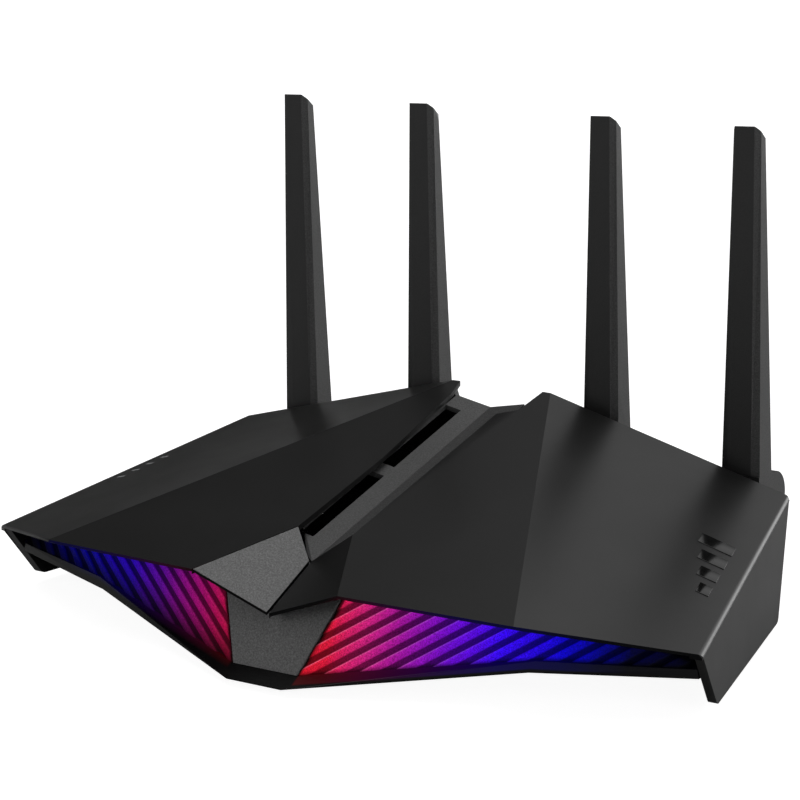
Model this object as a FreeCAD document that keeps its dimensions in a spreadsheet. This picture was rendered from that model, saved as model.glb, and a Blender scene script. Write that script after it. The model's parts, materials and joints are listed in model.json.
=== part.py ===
"""Low desktop wireless router with four folding blade antennas, as an assembly of separate pieces.

Millimetres. X runs to the router's own right hand as seen from the front, -Y is the front, +Z is up.
The origin is the middle of the footprint, on the surface that the rubber feet stand on.
"""
import FreeCAD, Part
import Sketcher

import math
import os
import re

DIMENSIONS = {
    # overall size
    "overall_width": 275.5,
    "overall_depth": 184.4,
    "overall_height": 165.3,
    # rubber feet and tray
    "foot_height": 3.0,
    "foot_radius": 7.0,
    "foot_edge": 0.6,
    "tray_wall": 2.2,
    "tray_flat_half_width": 60.0,
    "tray_rear": 60.0,
    "flat_front": 35.0,
    "wing_rear_x": 112.0,
    "trim_wall": 2.4,
    "rim_wall": 2.0,
    "rim_height": 6.0,
    "rim_gap": 0.6,
    "rim_lift": 1.0,
    "floor_vent_count": 9,
    "floor_vent_first": -22.0,
    "floor_vent_pitch": 6.0,
    "floor_vent_centre": 14.0,
    "floor_vent_half_length": 11.0,
    "floor_vent_half_width": 1.2,
    "floor_cut_top": 12.0,
    # top covers
    "cover_wall": 1.8,
    "fin_wall": 3.2,
    "wing_tip_height": 24.6,
    "rear_corner_height": 41.1,
    "peak_height": 66.1,
    "brow_height": 35.1,
    "chin_height": 24.2,
    "accent_wall": 1.3,
    "accent_gap": 0.35,
    "ledge_wall": 1.4,
    "ledge_lap": 2.5,
    "skirt_wall": 1.4,
    "skirt_depth": 2.2,
    "skirt_setback": 5.2,
    "brow_lip": 0.8,
    "undercut_run": 4.0,
    "undercut_clearance": 1.0,
    "undercut_share": 0.93,
    "lens_x": 120.0,
    "lens_drift": 1.3,
    "lens_first_y": -5.0,
    "lens_pitch": 7.0,
    "lens_length": 3.4,
    "lens_width": 1.2,
    "lens_depth": 3.0,
    "fin_corner": 3.0,
    # plan of one cover, on the router's right; the other cover mirrors it
    "tip_y": -51.5,
    "rear_corner_x": 113.1,
    "cover_rear": 64.5,
    "peak_x": 20.3,
    "peak_inner_x": 17.1,
    "brow_x": 28.2,
    "brow_y": -85.0,
    "shoulder_x": 90.0,
    "shoulder_y": -82.4,
    "valley_x": 10.6,
    "valley_front": -49.3,
    "flare_y": 2.0,
    "flare_end_x": 14.6,
    "flare_end_y": 54.2,
    "notch_x": 16.2,
    "notch_y": 48.8,
    "bevel_front": -31.6,
    "bevel_x": 8.5,
    "bevel_y": 46.5,
    "bevel_drop": 1.8,
    "chin_x": 0.5,
    "chin_y": -83.0,
    "throat_x": 0.4,
    "throat_y": -58.0,
    # side fins
    "fin_front_x": 135.7,
    "fin_front_y": -36.6,
    "fin_rear_y": 43.4,
    "fin_bottom": 3.4,
    # front lip: keel, bend and end of its lower and upper edges
    "keel_x": 10.6,
    "keel_z": 3.0,
    "bend_x": 83.7,
    "bend_y": -62.8,
    "bend_z": 12.7,
    "lip_end_x": 133.1,
    "lip_end_y": -44.7,
    "lip_end_z": 13.8,
    "nose_x": 12.6,
    "nose_y": -85.8,
    "nose_z": 6.2,
    "trim_bend_x": 85.7,
    "trim_bend_y": -61.5,
    "trim_bend_z": 16.8,
    "trim_end_x": 133.0,
    "trim_end_y": -45.2,
    "trim_end_z": 17.3,
    # nose, light bars and valley
    "nose_brow_x": 21.4,
    "nose_brow_y": -75.9,
    "nose_brow_z": 27.3,
    "nose_top_z": 31.6,
    "nose_notch_z": 22.6,
    "bar_top_nose_x": 24.6,
    "bar_top_nose_z": 33.8,
    "bar_top_bend_x": 88.0,
    "bar_top_bend_z": 36.0,
    "bar_top_end_x": 132.3,
    "bar_top_end_z": 22.6,
    "light_bar_seam": 0.25,
    "led_setback": 5.5,
    "led_lift": 5.0,
    "led_inset": 6.0,
    "led_board_height": 6.0,
    "led_lean": 1.5,
    "led_count": 9,
    "bar_end_setback": 4.0,
    "channel_nose_x": 4.0,
    "channel_front": -57.6,
    "channel_front_z": 34.2,
    "channel_rear": 57.0,
    "channel_rear_z": 60.2,
    "channel_dish": 2.1,
    "nose_wall": 2.4,
    "light_bar_wall": 2.0,
    "led_board_wall": 1.0,
    "led_size": 3.5,
    "led_height": 1.4,
    "channel_wall": 1.8,
    "channel_half_width": 17.0,
    "channel_taper": 3.0,
    "channel_taper_rise": 0.9,
    "channel_full_y": -38.0,
    "vent_inner": 7.6,
    "vent_outer": 14.0,
    # wall-hanging keyholes
    "keyhole_spacing": 100.0,
    "keyhole_y": 8.0,
    "keyhole_radius": 4.0,
    "keyhole_neck": 2.0,
    "keyhole_run": 10.0,
    # rear panel
    "panel_middle_z": 57.8,
    "panel_wall": 2.4,
    "panel_clearance": 0.3,
    "panel_inset": 1.0,
    "panel_middle_inset": 2.0,
    "rear_vent_count": 5,
    "rear_vent_first": 44.0,
    "rear_vent_pitch": 3.0,
    "rear_vent_half_length": 17.0,
    "rear_vent_height": 1.5,
    # main board and what is on it
    "board_lift": 2.8,
    "board_wall": 1.6,
    "board_half_width": 70.0,
    "board_rear": 58.5,
    "board_front": 45.0,
    "board_step_y": 15.0,
    "board_taper": 20.0,
    "board_hole_gap": 0.2,
    "pad_inset": 3.0,
    "capacitor_radius": 3.1,
    "capacitor_height": 8.5,
    "jack_height": 13.0,
    "jack_depth": 21.4,
    "lan_pitch": 13.9,
    "wan_centre": 38.5,
    "wan_width": 16.0,
    "socket_width": 11.8,
    "socket_height": 8.2,
    "socket_depth": 15.0,
    "latch_width": 6.2,
    "latch_height": 2.4,
    "usb_centre": 55.5,
    "usb_width": 14.5,
    "usb_height": 7.2,
    "usb_depth": 14.0,
    "usb_shell": 0.6,
    "tongue_height": 1.9,
    "inlet_centre": 36.0,
    "inlet_width": 10.0,
    "inlet_height": 11.5,
    "inlet_bore": 3.2,
    "inlet_pin": 1.25,
    "inlet_depth": 10.0,
    "inlet_back": 4.0,
    "inlet_pin_sunk": 0.8,
    "socket_sill": 3.6,
    "contact_pitch": 1.02,
    "contact_wall": 0.4,
    "contact_length": 9.0,
    "contact_drop": 1.7,
    "contact_root": 0.3,
    "contact_tip": 0.4,
    # buttons on the rear panel
    "power_centre": 48.5,
    "power_radius": 4.5,
    "pairing_centre": 59.5,
    "pairing_radius": 3.0,
    "lights_centre": 67.5,
    "lights_radius": 3.0,
    "reset_centre": 67.0,
    "reset_radius": 1.4,
    "button_height": 7.0,
    "button_gap": 0.3,
    "button_flange": 1.2,
    "button_flange_depth": 1.5,
    "button_proud": 1.8,
    "button_sunk": 1.4,
    "button_rim": 0.4,
    "button_travel_room": 1.8,
    "switch_width": 7.0,
    "switch_depth": 6.0,
    "switch_margin": 1.0,
    # heat sink
    "sink_width": 74.0,
    "sink_length": 54.0,
    "sink_base": 3.0,
    "sink_fin": 12.0,
    "sink_fin_wall": 1.4,
    "sink_fin_pitch": 5.05,
    "sink_fin_count": 12,
    "sink_hole": 1.5,
    "sink_screw_length": 8.0,
    "pad_wall": 0.8,
    "can_height": 2.4,
    "can_wall": 0.4,
    # antennas
    "antenna_outer": 91.7,
    "antenna_inner": 37.0,
    "antenna_front": 70.6,
    "hinge_height": 34.0,
    "barrel_radius": 9.2,
    "heel_drop": 4.5,
    "heel_angle": 45.0,
    "toe_angle": 50.0,
    "slot_half_width": 4.3,
    "slot_radius": 7.7,
    "eye_half_width": 4.0,
    "eye_radius": 7.0,
    "neck_half_height": 6.2,
    "pin_radius": 2.0,
    "pin_clearance": 0.06,
    "pin_inset": 0.4,
    "disc_wall": 2.7,
    "bush_reach": 3.0,
    "seam_root": 1.2,
    "seam_tip": 2.5,
    "cavity_bottom": 16.0,
    "cavity_top": 122.0,
    "radiator_back": 3.4,
    "stub_radius": 5.0,
    "stub_clearance": 0.06,
    "flange_radius": 8.6,
    "flange_wall": 2.6,
    "socket_radius": 6.6,
    "end_play": 0.3,
    "collar_radius": 6.2,
    "collar_wall": 1.8,
    "blade_root": 10.0,
    "blade_wall": 1.5,
    "blade_front_root": 4.0,
    "blade_front_tip": 3.75,
    "blade_side_root": 7.2,
    "blade_side_tip": 5.05,
    "blade_bevel_root": 0.4,
    "blade_bevel_tip": 2.2,
    "blade_depth_root": 10.0,
    "blade_depth_tip": 5.7,
    "blade_tip_drop": 4.7,
    "radiator_wall": 0.8,
    "radiator_half_width": 3.0,
    "radiator_lift": 4.0,
    "radiator_top": 108.0,
    "lead_radius": 0.6,
    "lead_gap": 0.6,
    "lead_bend": 3.5,
    "lead_end_gap": 0.5,
    "lead_turn_y": 46.0,
    "lead_foot_lift": 2.0,
    "plug_radius": 1.6,
    "plug_height": 2.4,
    # blank rating label under the tray
    "label_width": 52.0,
    "label_depth": 18.0,
    "label_y": 32.0,
    "label_wall": 0.25,
    # screws
    "screw_radius": 1.3,
    "screw_head_radius": 2.8,
    "screw_head_height": 1.8,
    "boss_radius": 3.8,
    "boss_split": 24.0,
    "boss_bore": 10.5,
    "boss_root_gap": 1.2,
    "case_seat": 13.0,
    "case_screw_length": 20.0,
    "board_screw_length": 3.4,
    "screw_hole_gap": 0.05,
    "case_screw_gap": 0.4,
    "head_gap": 0.3,
    "screw_slot_half_length": 2.0,
    "screw_slot_half_width": 0.35,
}

CASE_SCREW_PLACES = [(90.0, 34.0), (-90.0, 34.0), (96.0, -22.0), (-96.0, -22.0)]
BOARD_SCREW_PLACES = [(64.0, 30.0), (-64.0, 30.0), (44.0, -40.0), (-44.0, -40.0)]
SINK_SCREW_PLACES = [(33.5, 21.0), (-33.5, 21.0), (33.5, -21.0), (-33.5, -21.0)]
VENT_RUNS = [(-45.5, -2.0), (4.5, 49.0)]
FOOT_PLACES = [(48.0, 46.0), (-48.0, 46.0), (40.0, -40.0), (-40.0, -40.0), (0.0, -76.0)]

doc = FreeCAD.newDocument("Router")
dims = doc.addObject("Spreadsheet::Sheet", "Dims")
for row, (alias, number) in enumerate(DIMENSIONS.items(), start=1):
    dims.set("A%d" % row, alias.replace("_", " "))
    dims.set("B%d" % row, str(number))
    dims.setAlias("B%d" % row, alias)
doc.recompute()


def size(alias):
    """The number that the sheet holds under this alias."""
    return float(dims.get(alias))


def bind(feature, prop, formula):
    """Binds a property to the sheet: every word in the formula is one of its aliases."""
    feature.setExpression(prop, re.sub(r"[a-z][a-z_]+", lambda word: "Dims." + word.group(0), formula))


pieces = []


def keep(feature, label):
    """Marks a feature as a piece of the router: its label becomes the name of its file."""
    feature.Label = label
    pieces.append(feature)
    return feature


# ---------------------------------------------------------------- building blocks

def point(x, y, z):
    return FreeCAD.Vector(x, y, z)


def mirrored(points, side):
    """The same points on the router's right (side 1) or left (side -1)."""
    return [point(p.x * side, p.y, p.z) for p in points]


def shifted(points, x=0.0, y=0.0, z=0.0):
    return [point(p.x + x, p.y + y, p.z + z) for p in points]


def is_flat(ring):
    normal = (ring[1] - ring[0]).cross(ring[2] - ring[0])
    normal.normalize()
    return all(abs((p - ring[0]).dot(normal)) < 1e-6 for p in ring)


def ring_faces(ring):
    """One flat face, or a fan of triangles where the ring isn't flat."""
    if is_flat(ring):
        return [Part.Face(Part.makePolygon(ring + [ring[0]]))]
    fans = [[ring[0], ring[i], ring[i + 1]] for i in range(1, len(ring) - 1)]
    return [Part.Face(Part.makePolygon(fan + [fan[0]])) for fan in fans]


def slab(first, second):
    """The closed solid between two rings that have the same number of points."""
    faces = ring_faces(first) + ring_faces(second)
    for i in range(len(first)):
        j = (i + 1) % len(first)
        faces += ring_faces([first[i], first[j], second[j], second[i]])
    shell = Part.Shell(faces)
    shell.sewShape()
    solid = Part.Solid(shell)
    if solid.Orientation == "Reversed":
        shell.reverse()
        solid = Part.Solid(shell)
    return solid


def plate(ring, thickness):
    """A facet with its thickness measured straight down."""
    return slab(ring, shifted(ring, z=-thickness))


def fused(shapes):
    whole = shapes[0].fuse(shapes[1:]) if len(shapes) > 1 else shapes[0]
    return whole.removeSplitter()


def largest(shape):
    """The biggest solid of a shape, without the slivers that a cut can leave beside it."""
    return max(shape.Solids, key=lambda solid: solid.Volume)


def block(low, high):
    return Part.makeBox(high[0] - low[0], high[1] - low[1], high[2] - low[2], point(*low))


def rod(start, direction, radius, length):
    return Part.makeCylinder(radius, length, point(*start), point(*direction))


def solid_feature(label, shape, place=None):
    """A piece whose shape comes from Part's own functions; its placement is set after its shape."""
    feature = doc.addObject("Part::Feature", label)
    feature.Shape = shape
    if place is not None:
        feature.Placement = FreeCAD.Placement(place, FreeCAD.Rotation())
    return keep(feature, label)


def box_feature(name, low, lengths):
    """A Part box: low is its lowest corner and lengths its sides, all as formulas."""
    box = doc.addObject("Part::Box", name)
    for prop, formula in zip(("Length", "Width", "Height"), lengths):
        bind(box, prop, formula)
    for axis, formula in zip("xyz", low):
        bind(box, "Placement.Base." + axis, formula)
    return box


def cylinder_feature(name, start, direction, radius, length):
    """A Part cylinder from start along direction, with its radius, length and place as formulas."""
    cylinder = doc.addObject("Part::Cylinder", name)
    cylinder.Placement.Rotation = FreeCAD.Rotation(point(0, 0, 1), point(*direction))
    bind(cylinder, "Radius", radius)
    bind(cylinder, "Height", length)
    for axis, formula in zip("xyz", start):
        bind(cylinder, "Placement.Base." + axis, formula)
    return cylinder


def difference(name, base, tool):
    cut = doc.addObject("Part::Cut", name)
    cut.Base = base
    cut.Tool = tool
    return cut


def group(name, links):
    compound = doc.addObject("Part::Compound", name)
    compound.Links = links
    return compound


def origin_plane(body, role):
    return next(plane for plane in body.Origin.OriginFeatures if plane.Role == role)


def body_sketch(body, name, role, lift="0"):
    """A sketch on one of the body's own origin planes, lifted along the plane's normal."""
    sketch = body.newObject("Sketcher::SketchObject", name)
    sketch.AttachmentSupport = (origin_plane(body, role), [""])
    sketch.MapMode = "FlatFace"
    bind(sketch, "AttachmentOffset.Base.z", lift)
    return sketch


def constrain(sketch, prop, alias, *where):
    """Adds a dimension to a sketch and binds it to the sheet."""
    index = sketch.addConstraint(Sketcher.Constraint(prop, *where, size(alias)))
    bind(sketch, "Constraints[%d]" % index, alias)


def circle_sketch(body, name, role, alias, lift="0"):
    """A circle about the body's origin, with its radius bound to the sheet."""
    sketch = body_sketch(body, name, role, lift)
    sketch.addGeometry(Part.Circle(point(0, 0, 0), point(0, 0, 1), size(alias)), False)
    sketch.addConstraint(Sketcher.Constraint("Coincident", 0, 3, -1, 1))
    constrain(sketch, "Radius", alias, 0)
    return sketch


def rectangle_sketch(body, name, role, width, height, lift="0"):
    """A rectangle centred on the body's origin, with its two sides bound to the sheet."""
    sketch = body_sketch(body, name, role, lift)
    x = size(width) / 2
    y = size(height) / 2
    corners = [point(-x, -y, 0), point(x, -y, 0), point(x, y, 0), point(-x, y, 0)]
    for i in range(4):
        sketch.addGeometry(Part.LineSegment(corners[i], corners[(i + 1) % 4]), False)
    for i in range(4):
        sketch.addConstraint(Sketcher.Constraint("Coincident", i, 2, (i + 1) % 4, 1))
    for i in (0, 2):
        sketch.addConstraint(Sketcher.Constraint("Horizontal", i))
        sketch.addConstraint(Sketcher.Constraint("Vertical", i + 1))
    sketch.addConstraint(Sketcher.Constraint("Symmetric", 0, 1, 2, 1, -1, 1))
    constrain(sketch, "DistanceX", width, 0, 1, 0, 2)
    constrain(sketch, "DistanceY", height, 1, 1, 1, 2)
    return sketch


def pad(body, name, sketch, length, backwards=False):
    feature = body.newObject("PartDesign::Pad", name)
    feature.Profile = sketch
    feature.Reversed = backwards
    bind(feature, "Length", length)
    return feature


def on_plane(a, b, c, x=None, y=None, z=None):
    """The point of the plane through a, b and c that has the two coordinates given."""
    normal = (b - a).cross(c - a)
    level = normal.dot(a)
    if z is None:
        z = (level - normal.x * x - normal.y * y) / normal.z
    elif y is None:
        y = (level - normal.x * x - normal.z * z) / normal.y
    else:
        x = (level - normal.y * y - normal.z * z) / normal.x
    return point(x, y, z)


# ---------------------------------------------------------------- corners that several pieces share

COVER_WALL = size("cover_wall")
BOSS_SPLIT = size("boss_split")
TIP = point(size("overall_width") / 2, size("tip_y"), size("wing_tip_height"))
REAR_CORNER = point(size("rear_corner_x"), size("cover_rear"), size("rear_corner_height"))
PEAK = point(size("peak_x"), size("cover_rear"), size("peak_height"))
SHOULDER = on_plane(TIP, REAR_CORNER, PEAK, x=size("shoulder_x"), y=size("shoulder_y"))
BROW = point(size("brow_x"), size("brow_y"), size("brow_height"))
CHIN = point(size("chin_x"), size("chin_y"), size("chin_height"))


def on_top(x, y):
    """A point of the cover's inner facet, which leads down to the valley."""
    return on_plane(BROW, SHOULDER, PEAK, x=x, y=y)


def on_side(x, y):
    """A point of the cover's outer facet, which leads down to the wing tip."""
    return on_plane(TIP, REAR_CORNER, PEAK, x=x, y=y)


PEAK_INNER = on_top(size("peak_inner_x"), size("cover_rear"))
VALLEY_FRONT = on_top(size("valley_x"), size("valley_front"))
THROAT = on_plane(BROW, VALLEY_FRONT, CHIN, x=size("throat_x"), y=size("throat_y"))

KEEL = point(size("keel_x"), -size("overall_depth") / 2, size("keel_z"))
LIP_BEND = point(size("bend_x"), size("bend_y"), size("bend_z"))
LIP_END = point(size("lip_end_x"), size("lip_end_y"), size("lip_end_z"))
NOSE_CORNER = point(size("nose_x"), size("nose_y"), size("nose_z"))
TRIM_BEND = point(size("trim_bend_x"), size("trim_bend_y"), size("trim_bend_z"))
TRIM_END = point(size("trim_end_x"), size("trim_end_y"), size("trim_end_z"))
NOSE_BROW = point(size("nose_brow_x"), size("nose_brow_y"), size("nose_brow_z"))
NOSE_LEFT = point(-NOSE_CORNER.x, NOSE_CORNER.y, NOSE_CORNER.z)

FLAT_X = size("tray_flat_half_width")
FLAT_FRONT = point(FLAT_X, -size("flat_front"), size("keel_z"))
FLAT_REAR = point(FLAT_X, size("tray_rear"), size("keel_z"))
WING_REAR = point(size("wing_rear_x"), size("tray_rear"), size("lip_end_z"))


def under_tray(x, y):
    """The tray's lower skin at a place on its right wing or its flat middle."""
    if x <= FLAT_X:
        return size("keel_z")
    rear_wing = on_plane(FLAT_FRONT, WING_REAR, FLAT_REAR, x=x, y=y).z
    front_wing = on_plane(FLAT_FRONT, LIP_END, WING_REAR, x=x, y=y).z
    return min(rear_wing, front_wing)


# ---------------------------------------------------------------- top covers

def cover(side):
    """A faceted top cover with its side fin, front skirt and two screw bosses."""
    outer_facet = [SHOULDER, TIP, REAR_CORNER, PEAK]
    if side > 0:
        notch = on_top(size("notch_x"), size("notch_y"))
        bevel_front = on_top(size("valley_x"), size("bevel_front"))
        edge = [notch, bevel_front]
    else:
        edge = [on_top(size("flare_end_x"), size("flare_end_y")), on_top(size("valley_x"), size("flare_y"))]
    inner_facet = [BROW, SHOULDER, PEAK, PEAK_INNER] + edge + [VALLEY_FRONT]
    facets = [outer_facet, inner_facet]
    shapes = [plate(mirrored(ring, side), COVER_WALL) for ring in facets]
    front_facet = [BROW, VALLEY_FRONT, THROAT, CHIN]
    if side > 0:
        low = point(size("bevel_x"), size("bevel_y"), notch.z - size("bevel_drop"))
        shapes.append(plate([bevel_front, notch, low], COVER_WALL))
        shapes.append(plate(front_facet, COVER_WALL))
    else:
        shapes.append(accent_ledge(side))
    shapes.append(fin(side))
    shapes += skirt(side)
    bodies = fused(shapes)
    if side < 0:
        bodies = bodies.cut(status_lens_shapes())
    bosses = [cover_boss(x, y) for x, y in CASE_SCREW_PLACES if x * side > 0]
    bore_radius = size("screw_radius") + size("screw_hole_gap")
    bores = [rod((x, y, BOSS_SPLIT), (0, 0, 1), bore_radius, size("boss_bore"))
             for x, y in CASE_SCREW_PLACES if x * side > 0]
    near_tip = SHOULDER + (TIP - SHOULDER) * size("undercut_share")
    undercuts = [undercut(BROW, SHOULDER, side), undercut(SHOULDER, near_tip, side)]
    if side > 0:
        undercuts.append(undercut(CHIN, BROW, side))
    return bodies.cut(undercuts).fuse(bosses).cut(bores)


def undercut(start, end, side):
    """The wedge to cut from under a front edge, which leaves a thin lip along it."""
    lip = size("brow_lip")
    low = COVER_WALL + size("undercut_clearance")
    run = size("undercut_run")
    rings = [[corner - point(0, 0, lip), corner - point(0, 0, low), corner + point(0, run, -low)]
             for corner in (start, end)]
    return slab(mirrored(rings[0], side), mirrored(rings[1], side))


def fin(side):
    """The wall that hangs from the cover's outer edge, with its two lower corners rounded."""
    low_front = point(size("fin_front_x"), size("fin_front_y"), size("fin_bottom"))
    low_rear = on_plane(TIP, REAR_CORNER, low_front, y=size("fin_rear_y"), z=size("fin_bottom"))
    ring = mirrored([TIP, REAR_CORNER, low_rear, low_front], side)
    wall = slab(ring, shifted(ring, x=-side * size("fin_wall")))
    corners = [edge for edge in wall.Edges if abs(edge.Vertexes[0].Z - edge.Vertexes[1].Z) < 0.01
               and abs(edge.Vertexes[0].Z - size("fin_bottom")) < 0.01
               and abs(edge.Vertexes[0].Y - edge.Vertexes[1].Y) < 0.01]
    return wall.makeFillet(size("fin_corner"), corners)


def accent_ledge(side):
    """The sunk ledge that carries the accent panel; it runs on a little under the inner facet."""
    lap = size("ledge_lap")
    outer = on_plane(BROW, VALLEY_FRONT, CHIN, x=BROW.x + lap, y=BROW.y + lap / 3)
    inner = on_plane(BROW, VALLEY_FRONT, CHIN, x=VALLEY_FRONT.x + lap, y=VALLEY_FRONT.y)
    chin = on_plane(BROW, VALLEY_FRONT, CHIN, x=CHIN.x, y=CHIN.y + size("undercut_run"))
    outer = outer + point(0, size("undercut_run") / 2, 0)
    ring = mirrored([outer, inner, THROAT, chin], side)
    return plate(shifted(ring, z=-size("accent_wall")), size("ledge_wall"))


def skirt(side):
    """The inset wall under the cover's front edge, which shades the top of the light bar."""
    walls = []
    inset = size("skirt_setback")
    for start, end in ((BROW, SHOULDER), (SHOULDER, TIP)):
        top = shifted([start, end], y=inset, z=-COVER_WALL / 2)
        ring = top + [end + point(0, inset + size("skirt_wall"), -COVER_WALL / 2),
                      start + point(0, inset + size("skirt_wall"), -COVER_WALL / 2)]
        if end is TIP:
            end_shift = size("fin_wall") / 2
            ring[1] = ring[1] - point(end_shift, 0, 0)
            ring[2] = ring[2] - point(end_shift, 0, 0)
        ring = mirrored(ring, side)
        walls.append(slab(ring, shifted(ring, z=-size("skirt_depth"))))
    return walls


def status_lens_shapes():
    """Four little bars in a row along the left wing, flush with the cover's top."""
    shapes = []
    half_length = size("lens_length") / 2
    half_width = size("lens_width") / 2
    for i in range(4):
        x = size("lens_x") - i * size("lens_drift")
        y = size("lens_first_y") + i * size("lens_pitch")
        ring = [on_side(x - half_length, y - half_width), on_side(x + half_length, y - half_width),
                on_side(x + half_length, y + half_width), on_side(x - half_length, y + half_width)]
        shapes.append(plate(mirrored(ring, -1), size("lens_depth")))
    return shapes


def cover_boss(x, y):
    """A boss from the cover's underside down to the tray's boss."""
    top = on_side(abs(x), y).z - COVER_WALL / 2
    return rod((x, y, BOSS_SPLIT), (0, 0, 1), size("boss_radius"), top - BOSS_SPLIT - size("boss_root_gap"))


solid_feature("left_cover", cover(-1))
solid_feature("right_cover", cover(1))


def accent_panel():
    """The textured panel beside the nose, let into the left cover with a thin gap all round."""
    ring = mirrored([BROW, VALLEY_FRONT, THROAT, CHIN], -1)
    middle = (ring[0] + ring[1] + ring[2] + ring[3]) * 0.25
    gap = size("accent_gap")
    inset = [corner + (middle - corner).normalize() * gap for corner in ring]
    return plate(inset, size("accent_wall")).cut(undercut(CHIN, BROW, -1))


solid_feature("accent_panel", accent_panel())


# ---------------------------------------------------------------- nose, trim and light bars

def nose_at(x, z):
    return on_plane(NOSE_LEFT, NOSE_CORNER, NOSE_BROW, x=x, z=z)


def nose_side_x(z):
    """Half the nose's width at this height: its sides flare in a straight line."""
    rise = (z - NOSE_CORNER.z) / (NOSE_BROW.z - NOSE_CORNER.z)
    return NOSE_CORNER.x + rise * (NOSE_BROW.x - NOSE_CORNER.x)


def nose_piece():
    """The blunt plate at the front, notched at its top to sit under the covers' chins."""
    top = size("nose_top_z")
    corner = nose_at(nose_side_x(top), top)
    notch = nose_at(0, size("nose_notch_z"))
    left = [NOSE_LEFT, NOSE_CORNER - point(NOSE_CORNER.x, 0, 0), notch, mirrored([corner], -1)[0]]
    right = [NOSE_LEFT + point(NOSE_CORNER.x, 0, 0), NOSE_CORNER, corner, notch]
    return fused([slab(ring, shifted(ring, y=size("nose_wall"))) for ring in (left, right)])


def bar_at(x, z):
    """A point of the light bar's inner face."""
    return on_plane(NOSE_CORNER, TRIM_BEND, NOSE_BROW, x=x, z=z)


BAR_TOP_NOSE = bar_at(size("bar_top_nose_x"), size("bar_top_nose_z"))
BAR_TOP_BEND = bar_at(size("bar_top_bend_x"), size("bar_top_bend_z"))
BAR_END_Y = size("trim_end_y") + size("bar_end_setback")
BAR_TOP_END = point(size("bar_top_end_x"), BAR_END_Y, size("bar_top_end_z"))
BAR_RINGS = [
    [NOSE_CORNER, TRIM_BEND, BAR_TOP_BEND, BAR_TOP_NOSE],
    [TRIM_BEND, TRIM_END, BAR_TOP_END],
    [TRIM_BEND, BAR_TOP_END, BAR_TOP_BEND],
]


def light_bar(side):
    """The translucent bar behind the front edge, in one flat and one slanting stretch."""
    seam = size("light_bar_seam")
    shapes = []
    for ring in BAR_RINGS:
        moved = mirrored(shifted(ring, x=seam if ring is BAR_RINGS[0] else 0.0), side)
        shapes.append(slab(moved, shifted(moved, y=size("light_bar_wall"))))
    return fused(shapes).cut(front_trim())


def led_strip(side):
    """The narrow circuit board behind a light bar, with its row of light-emitting chips."""
    depth = size("light_bar_wall") + size("led_setback")
    low = mirrored(shifted([NOSE_CORNER, TRIM_BEND], y=depth, z=size("led_lift")), side)
    low[0] = low[0] + point(side * size("led_inset"), 0, 0)
    low[1] = low[1] - point(side * size("led_inset"), 0, 0)
    high = shifted(low, z=size("led_board_height"), y=size("led_lean"))
    ring = [low[0], low[1], high[1], high[0]]
    board = slab(ring, shifted(ring, y=size("led_board_wall")))
    chips = []
    count = int(size("led_count"))
    for i in range(count):
        share = (i + 0.5) / count
        middle = (low[0] + (low[1] - low[0]) * share + high[0] + (high[1] - high[0]) * share) * 0.5
        half = size("led_size") / 2
        chips.append(block((middle.x - half, middle.y - size("led_height"), middle.z - half),
                           (middle.x + half, middle.y + size("led_board_wall") / 2, middle.z + half)))
    return board.fuse(chips)


def front_trim():
    """The glossy lip along the foot of the light bars, from wing to wing across the keel."""
    lower = [KEEL, LIP_BEND, LIP_END]
    upper = [NOSE_CORNER, TRIM_BEND, TRIM_END]
    wall = size("trim_wall")
    shapes = []
    for side in (1, -1):
        low = mirrored(lower, side)
        high = mirrored(upper, side)
        for i in range(2):
            ring = [low[i], low[i + 1], high[i + 1], high[i]]
            shapes.append(slab(ring, shifted(ring, y=wall)))
    keel = [mirrored([KEEL], -1)[0], KEEL, NOSE_CORNER, NOSE_LEFT]
    shapes.append(slab(keel, shifted(keel, y=wall)))
    return fused(shapes)


solid_feature("nose_piece", nose_piece())
solid_feature("front_trim", front_trim())
solid_feature("left_light_bar", light_bar(-1))
solid_feature("right_light_bar", light_bar(1))
solid_feature("left_led_strip", led_strip(-1))
solid_feature("right_led_strip", led_strip(1))


# ---------------------------------------------------------------- valley between the covers

def vent_channel():
    """The shallow dished strip between the covers, with two long vent slots on each side."""
    front = [point(x, size("channel_front"), size("channel_front_z")) for x in (0.0, 1.0)]
    rear = [point(x, size("channel_rear"), size("channel_rear_z")) for x in (0.0, 1.0)]
    half = size("channel_half_width")
    taper = size("channel_taper")
    slope = (rear[0].z - front[0].z) / (rear[0].y - front[0].y)
    dish = size("channel_dish") * half / size("valley_x")
    shapes = []
    for side in (1, -1):
        narrow = size("channel_nose_x")
        outer_front = point(side * narrow, front[0].y + taper, front[0].z + size("channel_taper_rise"))
        outer_mid = point(side * half, size("channel_full_y"), 0)
        middle_z = front[0].z + (outer_mid.y - front[0].y) * slope
        outer_mid.z = middle_z + dish
        outer_rear = point(side * (half - taper), rear[0].y, rear[0].z + dish * (half - taper) / half)
        ring = [front[0], outer_front, outer_mid, outer_rear, rear[0]]
        shapes.append(slab(ring, shifted(ring, z=-size("channel_wall"))))
    strip = fused(shapes)
    slots = []
    for side in (1, -1):
        for start, end in VENT_RUNS:
            xs = sorted((side * size("vent_inner"), side * size("vent_outer")))
            slots.append(block((xs[0], start, 0), (xs[1], end, size("overall_height"))))
    return strip.cut(slots)


solid_feature("vent_channel", vent_channel())


# ---------------------------------------------------------------- tray, feet and their screws

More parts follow.
